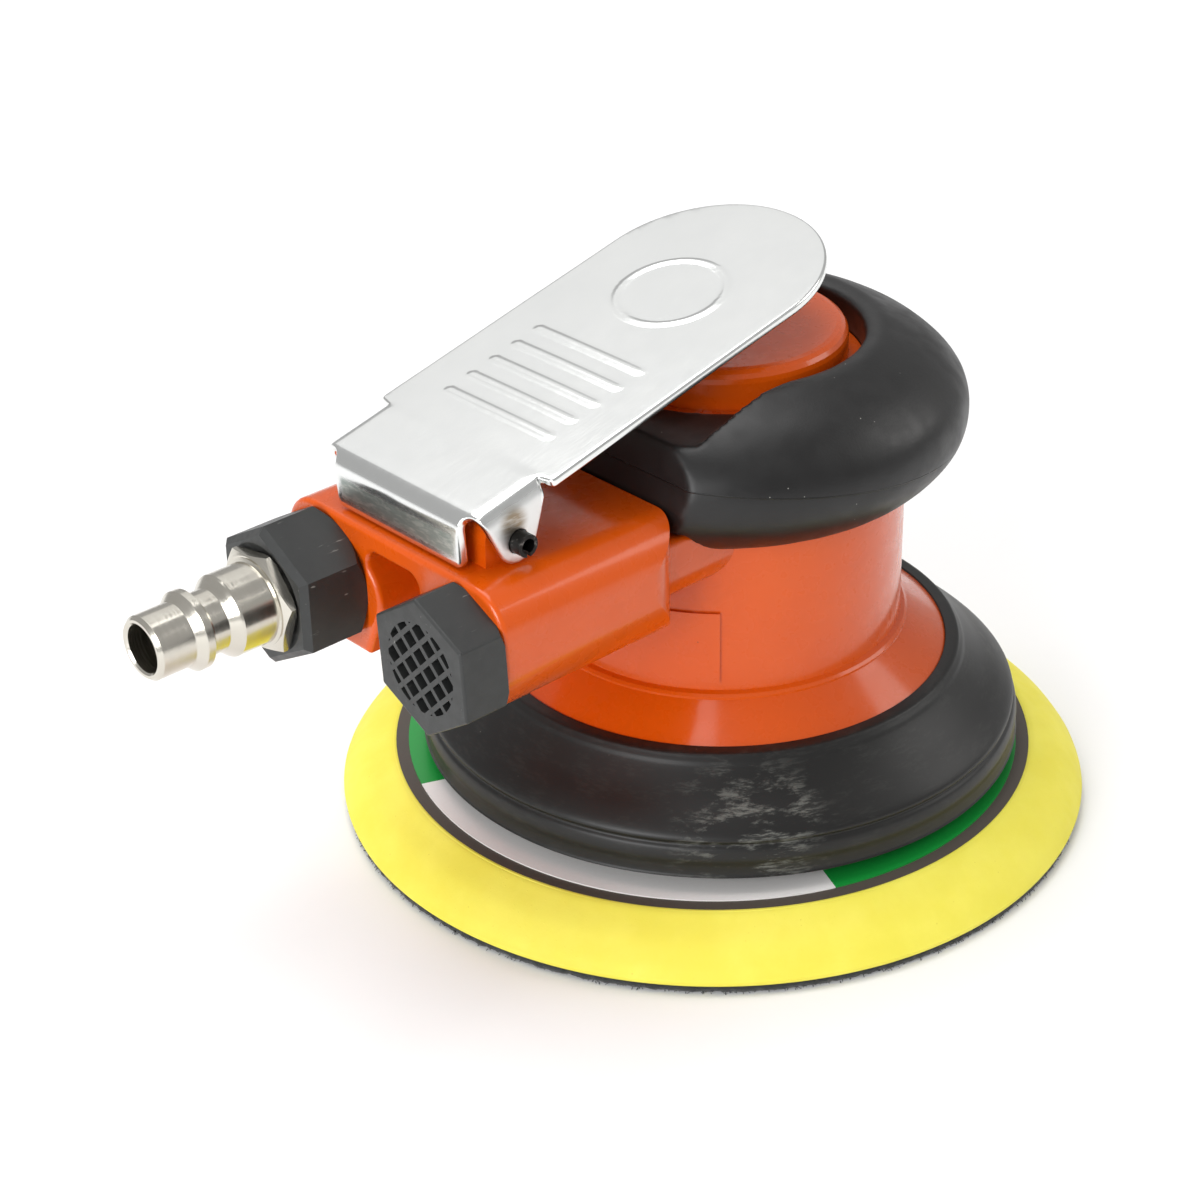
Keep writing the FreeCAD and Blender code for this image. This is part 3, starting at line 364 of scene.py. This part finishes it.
def nickel_plate():
    nickel = Shader("nickel_plate")
    nickel.colour(nickel.mix(nickel.noise(4.0, 4), (0.60, 0.565, 0.495), (0.70, 0.67, 0.60)))
    rings = nickel.noise(0.5, 3, 0.6, stretch=(3.0, 0.05, 0.05))
    nickel.set(Metallic=1.0, Roughness=nickel.span(rings, 0.3, 0.7, 0.13, 0.26))
    nickel.bump(rings, 0.006)
    return nickel.material


def steel(name, tone, roughness, groove=(1.0, 1.0, 3.0)):
    """A machined or drawn metal with fine tool marks."""
    metal = Shader(name)
    shade = tuple(value * 0.82 for value in tone)
    metal.colour(metal.mix(metal.noise(2.5, 4), shade, tone))
    marks = metal.noise(0.4, 3, 0.6, stretch=groove)
    metal.set(Metallic=1.0, Roughness=metal.span(marks, 0.3, 0.7, roughness * 0.8, roughness * 1.3))
    metal.bump(marks, 0.005)
    return metal.material


def blackened_steel():
    metal = Shader("blackened_steel")
    worn = metal.span(metal.noise(0.9, 4, 0.65), 0.56, 0.70)
    metal.colour(metal.mix(worn, (0.020, 0.019, 0.018), (0.16, 0.15, 0.14)))
    metal.set(Metallic=0.85, Roughness=metal.span(metal.noise(0.7, 3), 0.3, 0.7, 0.34, 0.5))
    metal.bump(metal.noise(0.4, 3), 0.01)
    return metal.material


def vane_resin():
    resin = Shader("vane_resin")
    layers = resin.noise(0.5, 3, 0.6, stretch=(1.0, 1.0, 5.0))
    resin.colour(resin.mix(layers, linear(120, 66, 30), linear(160, 96, 50)))
    resin.set(Roughness=resin.span(layers, 0.3, 0.7, 0.45, 0.6))
    resin.bump(layers, 0.01)
    return resin.material


def seal_rubber():
    rubber = Shader("seal_rubber")
    rubber.colour(rubber.mix(rubber.noise(1.2, 3), (0.011, 0.011, 0.012), (0.022, 0.022, 0.022)))
    rubber.set(Roughness=rubber.span(rubber.noise(0.8, 3), 0.3, 0.7, 0.32, 0.46))
    rubber.bump(rubber.noise(0.5, 2), 0.006)
    return rubber.material


def felt():
    cloth = Shader("felt")
    fibres = cloth.noise(0.25, 5, 0.8, warp=1.5)
    cloth.colour(cloth.mix(fibres, linear(34, 33, 32), linear(70, 68, 65)))
    cloth.set(Roughness=cloth.span(fibres, 0.2, 0.8, 0.9, 1.0), Sheen_Weight=0.4)
    cloth.bump(fibres, 0.15)
    return cloth.material


def pad_foam():
    foam = Shader("pad_foam")
    skin = foam.noise(12.0, 5, 0.6)
    base = foam.mix(foam.span(skin, 0.35, 0.68), linear(238, 226, 82), linear(244, 233, 94))
    pores = foam.dots(1.1, 0.05, 0.16)
    sparse = foam.span(foam.noise(3.0, 2), 0.56, 0.66)
    # The pores are darkened towards a mustard yellow: painted shade inside the pores.
    shade = foam.math("MULTIPLY", foam.math("MULTIPLY", pores, sparse), 0.35)
    foam.colour(foam.mix(shade, base, linear(200, 178, 40)))
    foam.set(Roughness=foam.span(foam.noise(2.0, 3), 0.3, 0.7, 0.55, 0.68), Specular_IOR_Level=0.35,
             Subsurface_Weight=0.12, Subsurface_Radius=(0.0015, 0.0011, 0.0003), Subsurface_Scale=1.0)
    foam.bump(foam.noise(0.8, 3, 0.6), 0.02)
    foam.bump(pores, 0.03, 0.5)
    return foam.material


def backing_plate():
    plate = Shader("backing_plate")
    fibre = plate.noise(0.5, 4, 0.7, stretch=(1.0, 2.0, 1.0))
    plate.colour(plate.mix(fibre, linear(66, 59, 53), linear(92, 84, 76)))
    plate.set(Roughness=plate.span(fibre, 0.3, 0.7, 0.5, 0.64))
    plate.bump(fibre, 0.02)
    return plate.material


def label():
    """Printed card, white and green by quarters round the pad's centre."""
    card = Shader("label")
    low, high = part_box("pad_label")
    centre = (Vector(low) + Vector(high)) / 2
    turn = card.node("ShaderNodeMapping", vector_type="POINT")
    card.feed(turn.inputs["Vector"], card.place)
    angle = math.radians(-LABEL_BEARING)
    turn.inputs["Rotation"].default_value = (0, 0, angle)
    shift = Matrix.Rotation(angle, 3, "Z") @ Vector((centre.x, centre.y, 0))
    turn.inputs["Location"].default_value = -shift
    parts = card.node("ShaderNodeSeparateXYZ")
    card.feed(parts.inputs[0], turn.outputs[0])
    side_a = card.math("GREATER_THAN", parts.outputs[0], 0.0)
    side_b = card.math("GREATER_THAN", parts.outputs[1], 0.0)
    same = card.math("COMPARE", side_a, side_b)
    grain = card.noise(0.6, 3)
    green = card.mix(grain, linear(20, 148, 58), linear(26, 160, 64))
    white = card.mix(grain, linear(246, 243, 240), linear(252, 250, 248))
    card.colour(card.mix(same, green, white))
    card.set(Roughness=card.span(grain, 0.3, 0.7, 0.34, 0.42), Coat_Weight=0.15, Coat_Roughness=0.2)
    card.bump(grain, 0.004)
    return card.material


def hook_fabric():
    cloth = Shader("hook_fabric")
    tufts = cloth.noise(0.35, 4, 0.75)
    cloth.colour(cloth.mix(tufts, linear(16, 17, 18), linear(58, 62, 64)))
    cloth.set(Roughness=cloth.span(tufts, 0.2, 0.8, 0.75, 0.95), Sheen_Weight=0.25)
    cloth.bump(tufts, 0.25)
    return cloth.material


LABEL_BEARING = 157.5
FINISHES = {
    "orange_paint": orange_paint(),
    "grip_rubber": grip_rubber(),
    "shroud_rubber": shroud_rubber(),
    "black_plastic": black_plastic(),
    "chrome_sheet": chrome_sheet(),
    "nickel_plate": nickel_plate(),
    "blackened_steel": blackened_steel(),
    "bare_steel": steel("bare_steel", (0.56, 0.56, 0.57), 0.30),
    "bearing_steel": steel("bearing_steel", (0.66, 0.66, 0.67), 0.16),
    "motor_iron": steel("motor_iron", (0.33, 0.32, 0.31), 0.42),
    "plate_aluminium": steel("plate_aluminium", (0.70, 0.71, 0.73), 0.28),
    "vane_resin": vane_resin(),
    "seal_rubber": seal_rubber(),
    "brass_part": steel("brass_part", (0.72, 0.53, 0.24), 0.25),
    "felt": felt(),
    "spring_wire": steel("spring_wire", (0.50, 0.50, 0.50), 0.28, (3.0, 1.0, 1.0)),
    "pad_foam": pad_foam(),
    "backing_plate": backing_plate(),
    "label": label(),
    "hook_fabric": hook_fabric(),
}


def finish_nodes():
    """Every CAD node takes the finish of the slot that the record gives it."""
    for part in frame["record"]["subparts"]:
        mesh = nodes[part["node"]].data
        finish = FINISHES[part["material_slot"]]
        if not mesh.materials:
            mesh.materials.append(finish)
        for index in range(len(mesh.materials)):
            mesh.materials[index] = finish


# ------------------------------------------------------------------ mesh helpers, in millimetres
def new_piece(name, places, faces, finish):
    """An object whose mesh has these places and faces, with even smooth shading."""
    mesh = bpy.data.meshes.new(name)
    mesh.from_pydata([Vector(place) * MM for place in places], [], faces)
    piece = bpy.data.objects.new(name, mesh)
    bpy.context.scene.collection.objects.link(piece)
    settle(mesh)
    mesh.materials.append(FINISHES[finish])
    return piece


def settle(mesh):
    """Normals outwards, smooth shading."""
    work = bmesh.new()
    work.from_mesh(mesh)
    bmesh.ops.recalc_face_normals(work, faces=work.faces)
    work.to_mesh(mesh)
    work.free()
    mesh.shade_smooth()


def ease(value, start, end):
    """0 before start, 1 after end, with a smooth rise between them."""
    share = min(max((value - start) / (end - start), 0.0), 1.0)
    return share * share * (3 - 2 * share)


def curve_through(points, steps):
    """A smooth line through the points, with this many steps between neighbours."""
    line = []
    count = len(points)
    for i in range(count - 1):
        ends = [Vector(points[max(i - 1, 0)]), Vector(points[i]), Vector(points[i + 1]),
                Vector(points[min(i + 2, count - 1)])]
        for step in range(steps):
            share = step / steps
            line.append(0.5 * (2 * ends[1] + (ends[2] - ends[0]) * share
                               + (2 * ends[0] - 5 * ends[1] + 4 * ends[2] - ends[3]) * share ** 2
                               + (3 * ends[1] - ends[0] - 3 * ends[2] + ends[3]) * share ** 3))
    line.append(Vector(points[-1]))
    return line


def turned_piece(name, profile, centre, count, wobble, finish):
    """A closed profile of (radius, height) turned about an upright axis; wobble moves each place a little."""
    places = []
    faces = []
    rings = []
    for radius, height in profile:
        if radius < 1e-6:
            rings.append([len(places)] * count)
            places.append((centre[0], centre[1], height))
            continue
        rings.append(list(range(len(places), len(places) + count)))
        for i in range(count):
            angle = 2 * math.pi * i / count
            out, up = wobble(angle, radius, height)
            places.append((centre[0] + (radius + out) * math.cos(angle),
                           centre[1] + (radius + out) * math.sin(angle), height + up))
    for low, high in zip(rings, rings[1:] + rings[:1]):
        for i in range(count):
            j = (i + 1) % count
            face = list(dict.fromkeys((low[i], low[j], high[j], high[i])))
            if len(face) > 2:
                faces.append(face)
    return new_piece(name, places, faces, finish)


def middle(node):
    low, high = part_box(node)
    return [(a + b) / 2 / MM for a, b in zip(low, high)]


# ------------------------------------------------------------------ lever: a stamped sheet
class LeverSheet:
    """The lever's bent sheet. A place on its flat blank is (s, q): s along from the fold, q across."""

    thickness = 1.5
    tilt = math.radians(13.5)
    fold_radius = 3.2
    fold_angle = math.radians(79.9)
    roll_radius = 2.6
    edge_radius = 0.45
    hole_edge_radius = 0.2
    crown = 0.25

    def __init__(self):
        low, high = ([value / MM for value in corner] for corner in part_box("throttle_lever"))
        pin = middle("lever_pin")
        pin_low, pin_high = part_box("lever_pin")
        self.along = Vector((math.cos(self.tilt), 0, math.sin(self.tilt)))
        self.up = Vector((-math.sin(self.tilt), 0, math.cos(self.tilt)))
        tip_rise = (high[0] - low[0]) * math.tan(self.tilt)
        corner = Vector((low[0] - 0.15, 0, high[2] - tip_rise))
        lead = self.fold_radius * math.tan(self.fold_angle / 2)
        self.start = corner + self.along * lead
        self.fold_length = self.fold_radius * self.fold_angle
        self.half_width = high[1]
        self.ear_side = 18.0
        self.roll_start = self.ear_side - self.roll_radius
        self.tip = (high[0] - self.start.x) / self.along.x
        fold_foot = self.start.z - self.along.z * self.fold_radius * math.sin(self.fold_angle)
        fold_foot -= self.up.z * self.fold_radius * (1 - math.cos(self.fold_angle))
        self.lip_end = -self.fold_length - (fold_foot - low[2])
        self.lip_half = 14.2
        away = Vector((pin[0], 0, pin[2])) - self.start
        self.pin_along = away.dot(self.along)
        self.pin_across = self.roll_start + self.roll_radius * (math.pi / 2 - 1) - away.dot(self.up)
        self.hole_radius = (pin_high[2] - pin_low[2]) / MM / 2 + 0.04
        self.foot_radius = 3.5
        self.slit = 10.4

    def top(self, s, q):
        """The top face's place in space."""
        across = abs(q)
        soft = 0.02 if across > self.roll_start + 0.6 else 1.2
        rolled = 1 - ease(s, self.slit - soft, self.slit + soft)
        turn = min(max((across - self.roll_start) / self.roll_radius, 0), math.pi / 2)
        past = max(across - self.roll_start - self.roll_radius * math.pi / 2, 0)
        side = min(across, self.roll_start) + self.roll_radius * math.sin(turn)
        drop = self.roll_radius * (1 - math.cos(turn)) + past
        side = side * rolled + across * (1 - rolled)
        drop = drop * rolled + self.crown * (across / self.half_width) ** 2 * (1 - rolled)
        bend = min(max(-s / self.fold_radius, 0), self.fold_angle)
        rest = max(-s - self.fold_length, 0)
        ahead = max(s, 0) - self.fold_radius * math.sin(bend) - rest * math.cos(bend)
        drop += self.fold_radius * (1 - math.cos(bend)) + rest * math.sin(bend)
        dent_depth, dent_length, dent_width, dent_slice = 0.05, 19, 14, 3.7
        dent = noise.noise(Vector((s / dent_length, q / dent_width, dent_slice)))
        wave = dent_depth * dent * ease(s, 4, 12)
        sideways = Vector((0, math.copysign(side, q), 0))
        return self.start + self.along * ahead - self.up * (drop - wave) + sideways

    def normal(self, s, q):
        step = 0.05
        first = self.top(s + step, q) - self.top(s - step, q)
        second = self.top(s, q + step) - self.top(s, q - step)
        return first.cross(second).normalized()

    def relief(self, s, q):
        """Height of the pressed pattern: a plain ring and a set of plain ribs for the palm."""
        height, half = 0.24, 0.75
        ring_place, ring_radius = 54.0, 8.6
        off_ring = abs(math.hypot(s - ring_place, q) - ring_radius)
        value = 1 - ease(off_ring, 0.15, half)
        first_rib, rib_pitch, rib_count, rib_reach = 18.0, 4.6, 5, 11.0
        nearest = min(max(round((s - first_rib) / rib_pitch), 0), rib_count - 1)
        off_rib = math.hypot(s - first_rib - nearest * rib_pitch, max(abs(q) - rib_reach, 0))
        value = max(value, 1 - ease(off_rib, 0.25, 0.95))
        return height * value

    def outline(self):
        """Corners of the blank's right half as (s, q, corner radius), from the lip to the tip."""
        pin = Vector((self.pin_along, self.pin_across))
        front, rear = Vector((-1.1, 17.2)), Vector((self.slit - 0.15, self.half_width + 0.6))
        return [(self.lip_end, self.lip_half, 1.3), (-1.5, self.lip_half, 1.75), (front.x, front.y, 3.0),
                (*tangent_corner(front, pin, self.foot_radius, -1), self.foot_radius - 0.02),
                (*tangent_corner(rear, pin, self.foot_radius, 1), self.foot_radius - 0.02),
                (rear.x, rear.y, 2.0), (self.slit, self.roll_start + 0.7, 0.12),
                (self.slit + 0.75, self.half_width, 0.8),
                (self.tip, self.half_width, self.half_width - 0.1)]


def tangent_corner(point, centre, radius, side):
    """Where a line from a point, tangent to a circle, meets the circle's far tangent across the sheet."""
    away = centre - point
    turn = math.asin(radius / away.length) * side
    angle = math.atan2(away.y, away.x) - turn
    reach = (centre.y + radius - point.y) / math.sin(angle)
    return point.x + reach * math.cos(angle), centre.y + radius


def rounded_outline(corners, step):
    """A closed outline of (x, y, radius) corners as samples: places and outward normals."""
    samples = []
    count = len(corners)
    arcs = []
    for i, (x, y, radius) in enumerate(corners):
        here = Vector((x, y))
        before = (Vector(corners[i - 1][:2]) - here).normalized()
        after = (Vector(corners[(i + 1) % count][:2]) - here).normalized()
        half = before.angle(after) / 2
        centre = here + (before + after).normalized() * (radius / math.sin(half))
        reach = radius / math.tan(half)
        convex = 1 if before.cross(after) < 0 else -1
        arcs.append((here + before * reach, here + after * reach, centre, radius, convex))
    for i, (start, end, centre, radius, convex) in enumerate(arcs):
        first, last = start - centre, end - centre
        sweep = math.atan2(first.cross(last), first.dot(last))
        steps = max(int(abs(sweep) * radius / step), 4)
        for k in range(steps + 1):
            out = Matrix.Rotation(sweep * k / steps, 2) @ first
            samples.append((centre + out, out.normalized() * convex))
        following = arcs[(i + 1) % count][0]
        run = following - end
        steps = int(run.length / step)
        normal = Vector((run.y, -run.x)).normalized()
        for k in range(1, steps):
            samples.append((end + run * (k / steps), normal))
    return [sample for i, sample in enumerate(samples) if (sample[0] - samples[i - 1][0]).length > 1e-3]


def inside(place, loop):
    """True if a place is within a closed loop of places."""
    crossings = 0
    for first, second in zip(loop, loop[1:] + loop[:1]):
        if (first.y > place.y) != (second.y > place.y):
            share = (place.y - first.y) / (second.y - first.y)
            crossings += place.x < first.x + share * (second.x - first.x)
    return crossings % 2 == 1


def filling_points(loops, reach):
    """Points over the blank: closer together over the bends and the pressed pattern."""
    tree = kdtree.KDTree(sum(len(loop) for loop in loops))
    for i, place in enumerate(place for loop in loops for place in loop):
        tree.insert((place.x, place.y, 0), i)
    tree.balance()
    points = []
    bends_end, pattern_end, pattern_half, widest, clear = 13, 64, 13, 28, 0.3
    s = reach[0]
    while s < reach[1]:
        bent = s < bends_end
        pitch = 0.55 if bent else 0.42 if s < pattern_end else 1.2
        row = int(widest / pitch)
        for k in range(-row, row + 1):
            q = k * pitch
            if not bent and abs(q) > pattern_half and k % 2:
                continue
            place = Vector((s, q))
            if tree.find((s, q, 0))[2] > clear and inside(place, loops[0]):
                if not any(inside(place, loop) for loop in loops[1:]):
                    points.append(place)
        s += pitch
    return points


def build_lever():
    sheet = LeverSheet()
    half = sheet.outline()
    whole = half + [(s, -q, radius) for s, q, radius in reversed(half)]
    edges = [(rounded_outline(whole[::-1], 0.45), sheet.edge_radius)]
    steps = 40
    ways = [Vector((math.cos(a), math.sin(a))) for a in (2 * math.pi * k / steps for k in range(steps))]
    for side in (1, -1):
        centre = Vector((sheet.pin_along, side * sheet.pin_across))
        edges.append(([(centre + out * sheet.hole_radius, -out) for out in ways], sheet.hole_edge_radius))
    loops = [[place - normal * radius for place, normal in samples] for samples, radius in edges]
    points = [place for loop in loops for place in loop]
    links = []
    first = 0
    for loop in loops:
        links += [(first + i, first + (i + 1) % len(loop)) for i in range(len(loop))]
        first += len(loop)
    points += filling_points(loops, (sheet.lip_end, sheet.tip))
    flat, _, triangles, origins, _, _ = delaunay_2d_cdt(points, links, [], 0, 1e-5)
    kept = []
    for triangle in triangles:
        centre = sum((flat[i] for i in triangle), Vector((0, 0))) / 3
        if inside(centre, loops[0]) and not any(inside(centre, loop) for loop in loops[1:]):
            kept.append(triangle)
    places = []
    for depth in (0, sheet.thickness):
        for s, q in flat:
            places.append(sheet.top(s, q) + sheet.normal(s, q) * (sheet.relief(s, q) - depth))
    faces = kept + [[i + len(flat) for i in reversed(triangle)] for triangle in kept]
    known = {origin: i for i, group in enumerate(origins) for origin in group}
    first = 0
    for samples, radius in edges:
        top_ring = [known[first + i] for i in range(len(samples))]
        rings = [top_ring]
        for inset, depth in edge_steps(radius, sheet.thickness):
            rings.append(list(range(len(places), len(places) + len(samples))))
            for place, normal in samples:
                s, q = place - normal * inset
                places.append(sheet.top(s, q) - sheet.normal(s, q) * depth)
        rings.append([i + len(flat) for i in top_ring])
        for upper, lower in zip(rings, rings[1:]):
            faces += [(upper[i - 1], upper[i], lower[i], lower[i - 1]) for i in range(len(samples))]
        first += len(samples)
    lever = new_piece("lever_sheet", places, faces, "chrome_sheet")
    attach(lever, "lever")
    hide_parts("throttle_lever")


def edge_steps(radius, thickness):
    """Inset and depth of the rings that round both edges of a sheet."""
    steps = 4
    angles = [math.pi / 2 * k / steps for k in range(1, steps + 1)]
    upper = [(radius * (1 - math.sin(a)), radius * (1 - math.cos(a))) for a in angles]
    return upper + [(inset, thickness - depth) for inset, depth in reversed(upper)]


# ------------------------------------------------------------------ rubber skirt, foam, hook layer and grip
def build_shroud():
    """The rubber skirt: a soft outer skin over a wall with the groove that holds the flange."""
    low, high = ([value / MM for value in corner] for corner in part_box("shroud"))
    outer, bottom, top = high[0], low[2], high[2]
    flange, flange_foot, steps = 37.25, 26.95, 6
    skin = curve_through([(outer - 12.3, top), (outer - 10.6, top - 0.12), (outer - 9.9, top - 0.75),
                          (outer - 8.4, top - 2.5), (outer - 5.9, top - 5.0), (outer - 3.2, top - 7.2),
                          (outer - 1.35, top - 8.9), (outer - 0.8, top - 9.8), (outer - 1.0, top - 10.55),
                          (outer - 0.45, top - 11.3), (outer - 0.15, top - 12.8),
                          (outer - 0.3, bottom + 2.2), (outer - 0.22, bottom + 0.7),
                          (outer - 0.02, bottom + 0.25), (outer - 0.3, bottom)], steps)
    wall = [(outer - 2.1, bottom), (outer - 2.6, bottom + 0.5), (outer - 2.6, bottom + 2.8),
            (outer - 3.7, bottom + 4.8), (flange - 0.7, 24.6), (flange - 4.0, 24.8),
            (flange - 4.0, flange_foot), (flange, flange_foot), (flange, top)]

    def wobble(angle, radius, height):
        if radius < outer - 9.5 or height > top - 1.5:
            return 0, 0
        way = Vector((math.cos(angle) * 1.6, math.sin(angle) * 1.6, height / 9))
        loose = ease(radius, outer - 9.5, outer - 4)
        hem = height < bottom + 1
        out = -0.09 + 0.13 * noise.noise(way) * loose
        return out, 0.16 * noise.noise(way * 1.7) * loose * hem

    shroud = turned_piece("skirt", skin + wall, (0, 0), 220, wobble, "shroud_rubber")
    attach(shroud, "housing")
    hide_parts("shroud")


def build_foam():
    """The pad's foam: a moulded ring with a rounded rim and a well for the plate."""
    low, high = ([value / MM for value in corner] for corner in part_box("pad_foam"))
    centre = middle("pad_foam")
    radius, bottom, top = high[0] - centre[0], low[2], high[2]
    recess, recess_floor, steps = 53.1, 6.8, 7
    crest = curve_through([(recess, top), (recess + 0.9, top - 0.1), (radius - 7.0, top - 0.85),
                           (radius - 4.0, top - 2.6), (radius - 1.5, top - 4.9), (radius - 0.3, top - 6.5),
                           (radius - 0.02, bottom + 0.75), (radius - 0.12, bottom + 0.2),
                           (radius - 0.6, bottom)], steps)
    under = [(radius * share, bottom) for share in (0.8, 0.5, 0.2, 0)]
    well = [(recess * share, recess_floor) for share in (0, 0.3, 0.6, 0.9, 1.0)]

    def wobble(angle, out, height):
        if out < recess + 0.5 or height < bottom + 0.1:
            return 0, 0
        way = Vector((math.cos(angle) * 2.4, math.sin(angle) * 2.4, height / 6))
        fine = Vector((math.cos(angle) * 15, math.sin(angle) * 15, height / 2.2))
        across = -0.12 + 0.10 * noise.noise(way) + 0.035 * noise.noise(fine)
        return across, -0.03 + 0.04 * noise.noise(way * 1.3)

    foam = turned_piece("foam_ring", crest + under + well, centre, 360, wobble, "pad_foam")
    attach(foam, "pad")
    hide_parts("pad_foam")


HOOK_SEED = 7
HOOK_COUNT = 2600


def build_hooks():
    """The hook layer: a cloth disc with a ragged edge, and bristles round its rim."""
    low, high = ([value / MM for value in corner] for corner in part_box("hook_face"))
    centre = middle("hook_face")
    radius, top, cloth_foot = high[0] - centre[0], high[2], 0.25
    edge = [(radius - 1.4, top), (radius - 0.55, top - 0.05), (radius - 0.3, top * 0.75),
            (radius - 0.25, top * 0.45), (radius - 0.5, cloth_foot + 0.1), (radius - 1.4, cloth_foot)]
    inner = [(radius * share, cloth_foot) for share in (0.8, 0.5, 0.2, 0)]
    inner += [(0, top), (radius * 0.5, top)]

    def wobble(angle, out, height):
        if out < radius - 1.6:
            return 0, 0
        way = Vector((math.cos(angle) * 60, math.sin(angle) * 60, height))
        return 0.32 * noise.noise(way), 0.18 * noise.noise(way * 1.9) * (height < top * 0.9)

    cloth = turned_piece("hook_cloth", edge + inner, centre, 900, wobble, "hook_fabric")
    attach(cloth, "pad")
    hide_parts("hook_face")
    places = []
    faces = []
    spread, outward = 0.16, 0.22
    draw = random.Random(HOOK_SEED)
    for _ in range(HOOK_COUNT):
        angle = draw.uniform(0, 2 * math.pi)
        out = radius - 0.35 - draw.random() ** 2 * 3.0
        root = Vector((centre[0] + out * math.cos(angle), centre[1] + out * math.sin(angle), 0.3))
        lean_x = draw.gauss(0, spread) + outward * math.cos(angle)
        lean_y = draw.gauss(0, spread) + outward * math.sin(angle)
        lean = Vector((lean_x, lean_y, 0))
        if out > radius - 0.9:
            root.z = draw.uniform(cloth_foot, top - 0.35)
        add_hook(places, faces, root, lean, draw.uniform(0.05, 0.08), centre, radius)
    hooks = new_piece("hook_tufts", places, faces, "hook_fabric")
    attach(hooks, "pad")


def add_hook(places, faces, root, lean, thick, centre, limit):
    """One bristle: a short three-sided stalk that leans outwards and ends in a bead."""
    spans = ((0.0, 1.0), (0.45, 0.8), (0.8, 1.3), (1.0, 0.5))
    sides, length, droop, low_root, margin = 3, 1.3, 0.24, 0.5, 0.12
    first = len(places)
    for share, width in spans:
        at = root + lean * share * length + Vector((0, 0, -droop * share * (root.z < low_root)))
        flat = Vector((at.x - centre[0], at.y - centre[1]))
        if flat.length > limit - margin:
            flat *= (limit - margin) / flat.length
            at = Vector((centre[0] + flat.x, centre[1] + flat.y, at.z))
        for corner in range(sides):
            angle = 2 * math.pi * corner / sides
            places.append(at + Vector((math.cos(angle), math.sin(angle), 0)) * thick * width)
    for ring in range(len(spans) - 1):
        for corner in range(sides):
            a = first + ring * sides + corner
            b = first + ring * sides + (corner + 1) % sides
            faces.append((a, b, b + sides, a + sides))
    faces.append((first + 2, first + 1, first))
    last = first + sides * (len(spans) - 1)
    faces.append((last, last + 1, last + 2))


GRIP_VOXEL = 0.5
GRIP_SMOOTHINGS = 9


def build_grip():
    """The rubber grip: the same ring with soft edges and a slightly uneven skin."""
    grip = bpy.data.objects.new("rubber_grip", nodes["comfort_grip"].data.copy())
    grip.matrix_world = nodes["comfort_grip"].matrix_world
    bpy.context.scene.collection.objects.link(grip)
    remesh = grip.modifiers.new("even", "REMESH")
    remesh.mode = "VOXEL"
    remesh.voxel_size = GRIP_VOXEL * MM
    smooth = grip.modifiers.new("soft", "SMOOTH")
    smooth.factor = 0.5
    smooth.iterations = GRIP_SMOOTHINGS
    ready = bpy.context.evaluated_depsgraph_get()
    mesh = bpy.data.meshes.new_from_object(grip.evaluated_get(ready))
    grip.modifiers.clear()
    grip.data = mesh
    moves = []
    shrink, swell, swell_size, grain, grain_size = -0.05, 0.07, 11, 0.02, 3.1
    for vertex in mesh.vertices:
        at = vertex.co / MM
        depth = shrink + swell * noise.noise(at / swell_size) + grain * noise.noise(at / grain_size)
        moves.append(vertex.normal * depth * MM)
    for vertex, move in zip(mesh.vertices, moves):
        vertex.co += move
    mesh.shade_smooth()
    mesh.materials.clear()
    mesh.materials.append(FINISHES["grip_rubber"])
    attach(grip, "housing")
    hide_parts("comfort_grip")


def build_spring():
    """The valve spring. Its far end is fixed; it rides with the housing and has a mesh of its own."""
    spring = bpy.data.objects.new("coil_spring", nodes["valve_spring"].data.copy())
    spring.matrix_world = nodes["valve_spring"].matrix_world
    bpy.context.scene.collection.objects.link(spring)
    spring.data.materials.clear()
    spring.data.materials.append(FINISHES["spring_wire"])
    spring.data.shade_smooth()
    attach(spring, "housing")
    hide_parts("valve_spring")
    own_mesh(spring)


add_camera()
add_lights()
add_floor()
finish_nodes()
build_lever()
build_shroud()
build_foam()
build_hooks()
build_grip()
build_spring()
bpy.context.scene.view_settings.view_transform = "Standard"
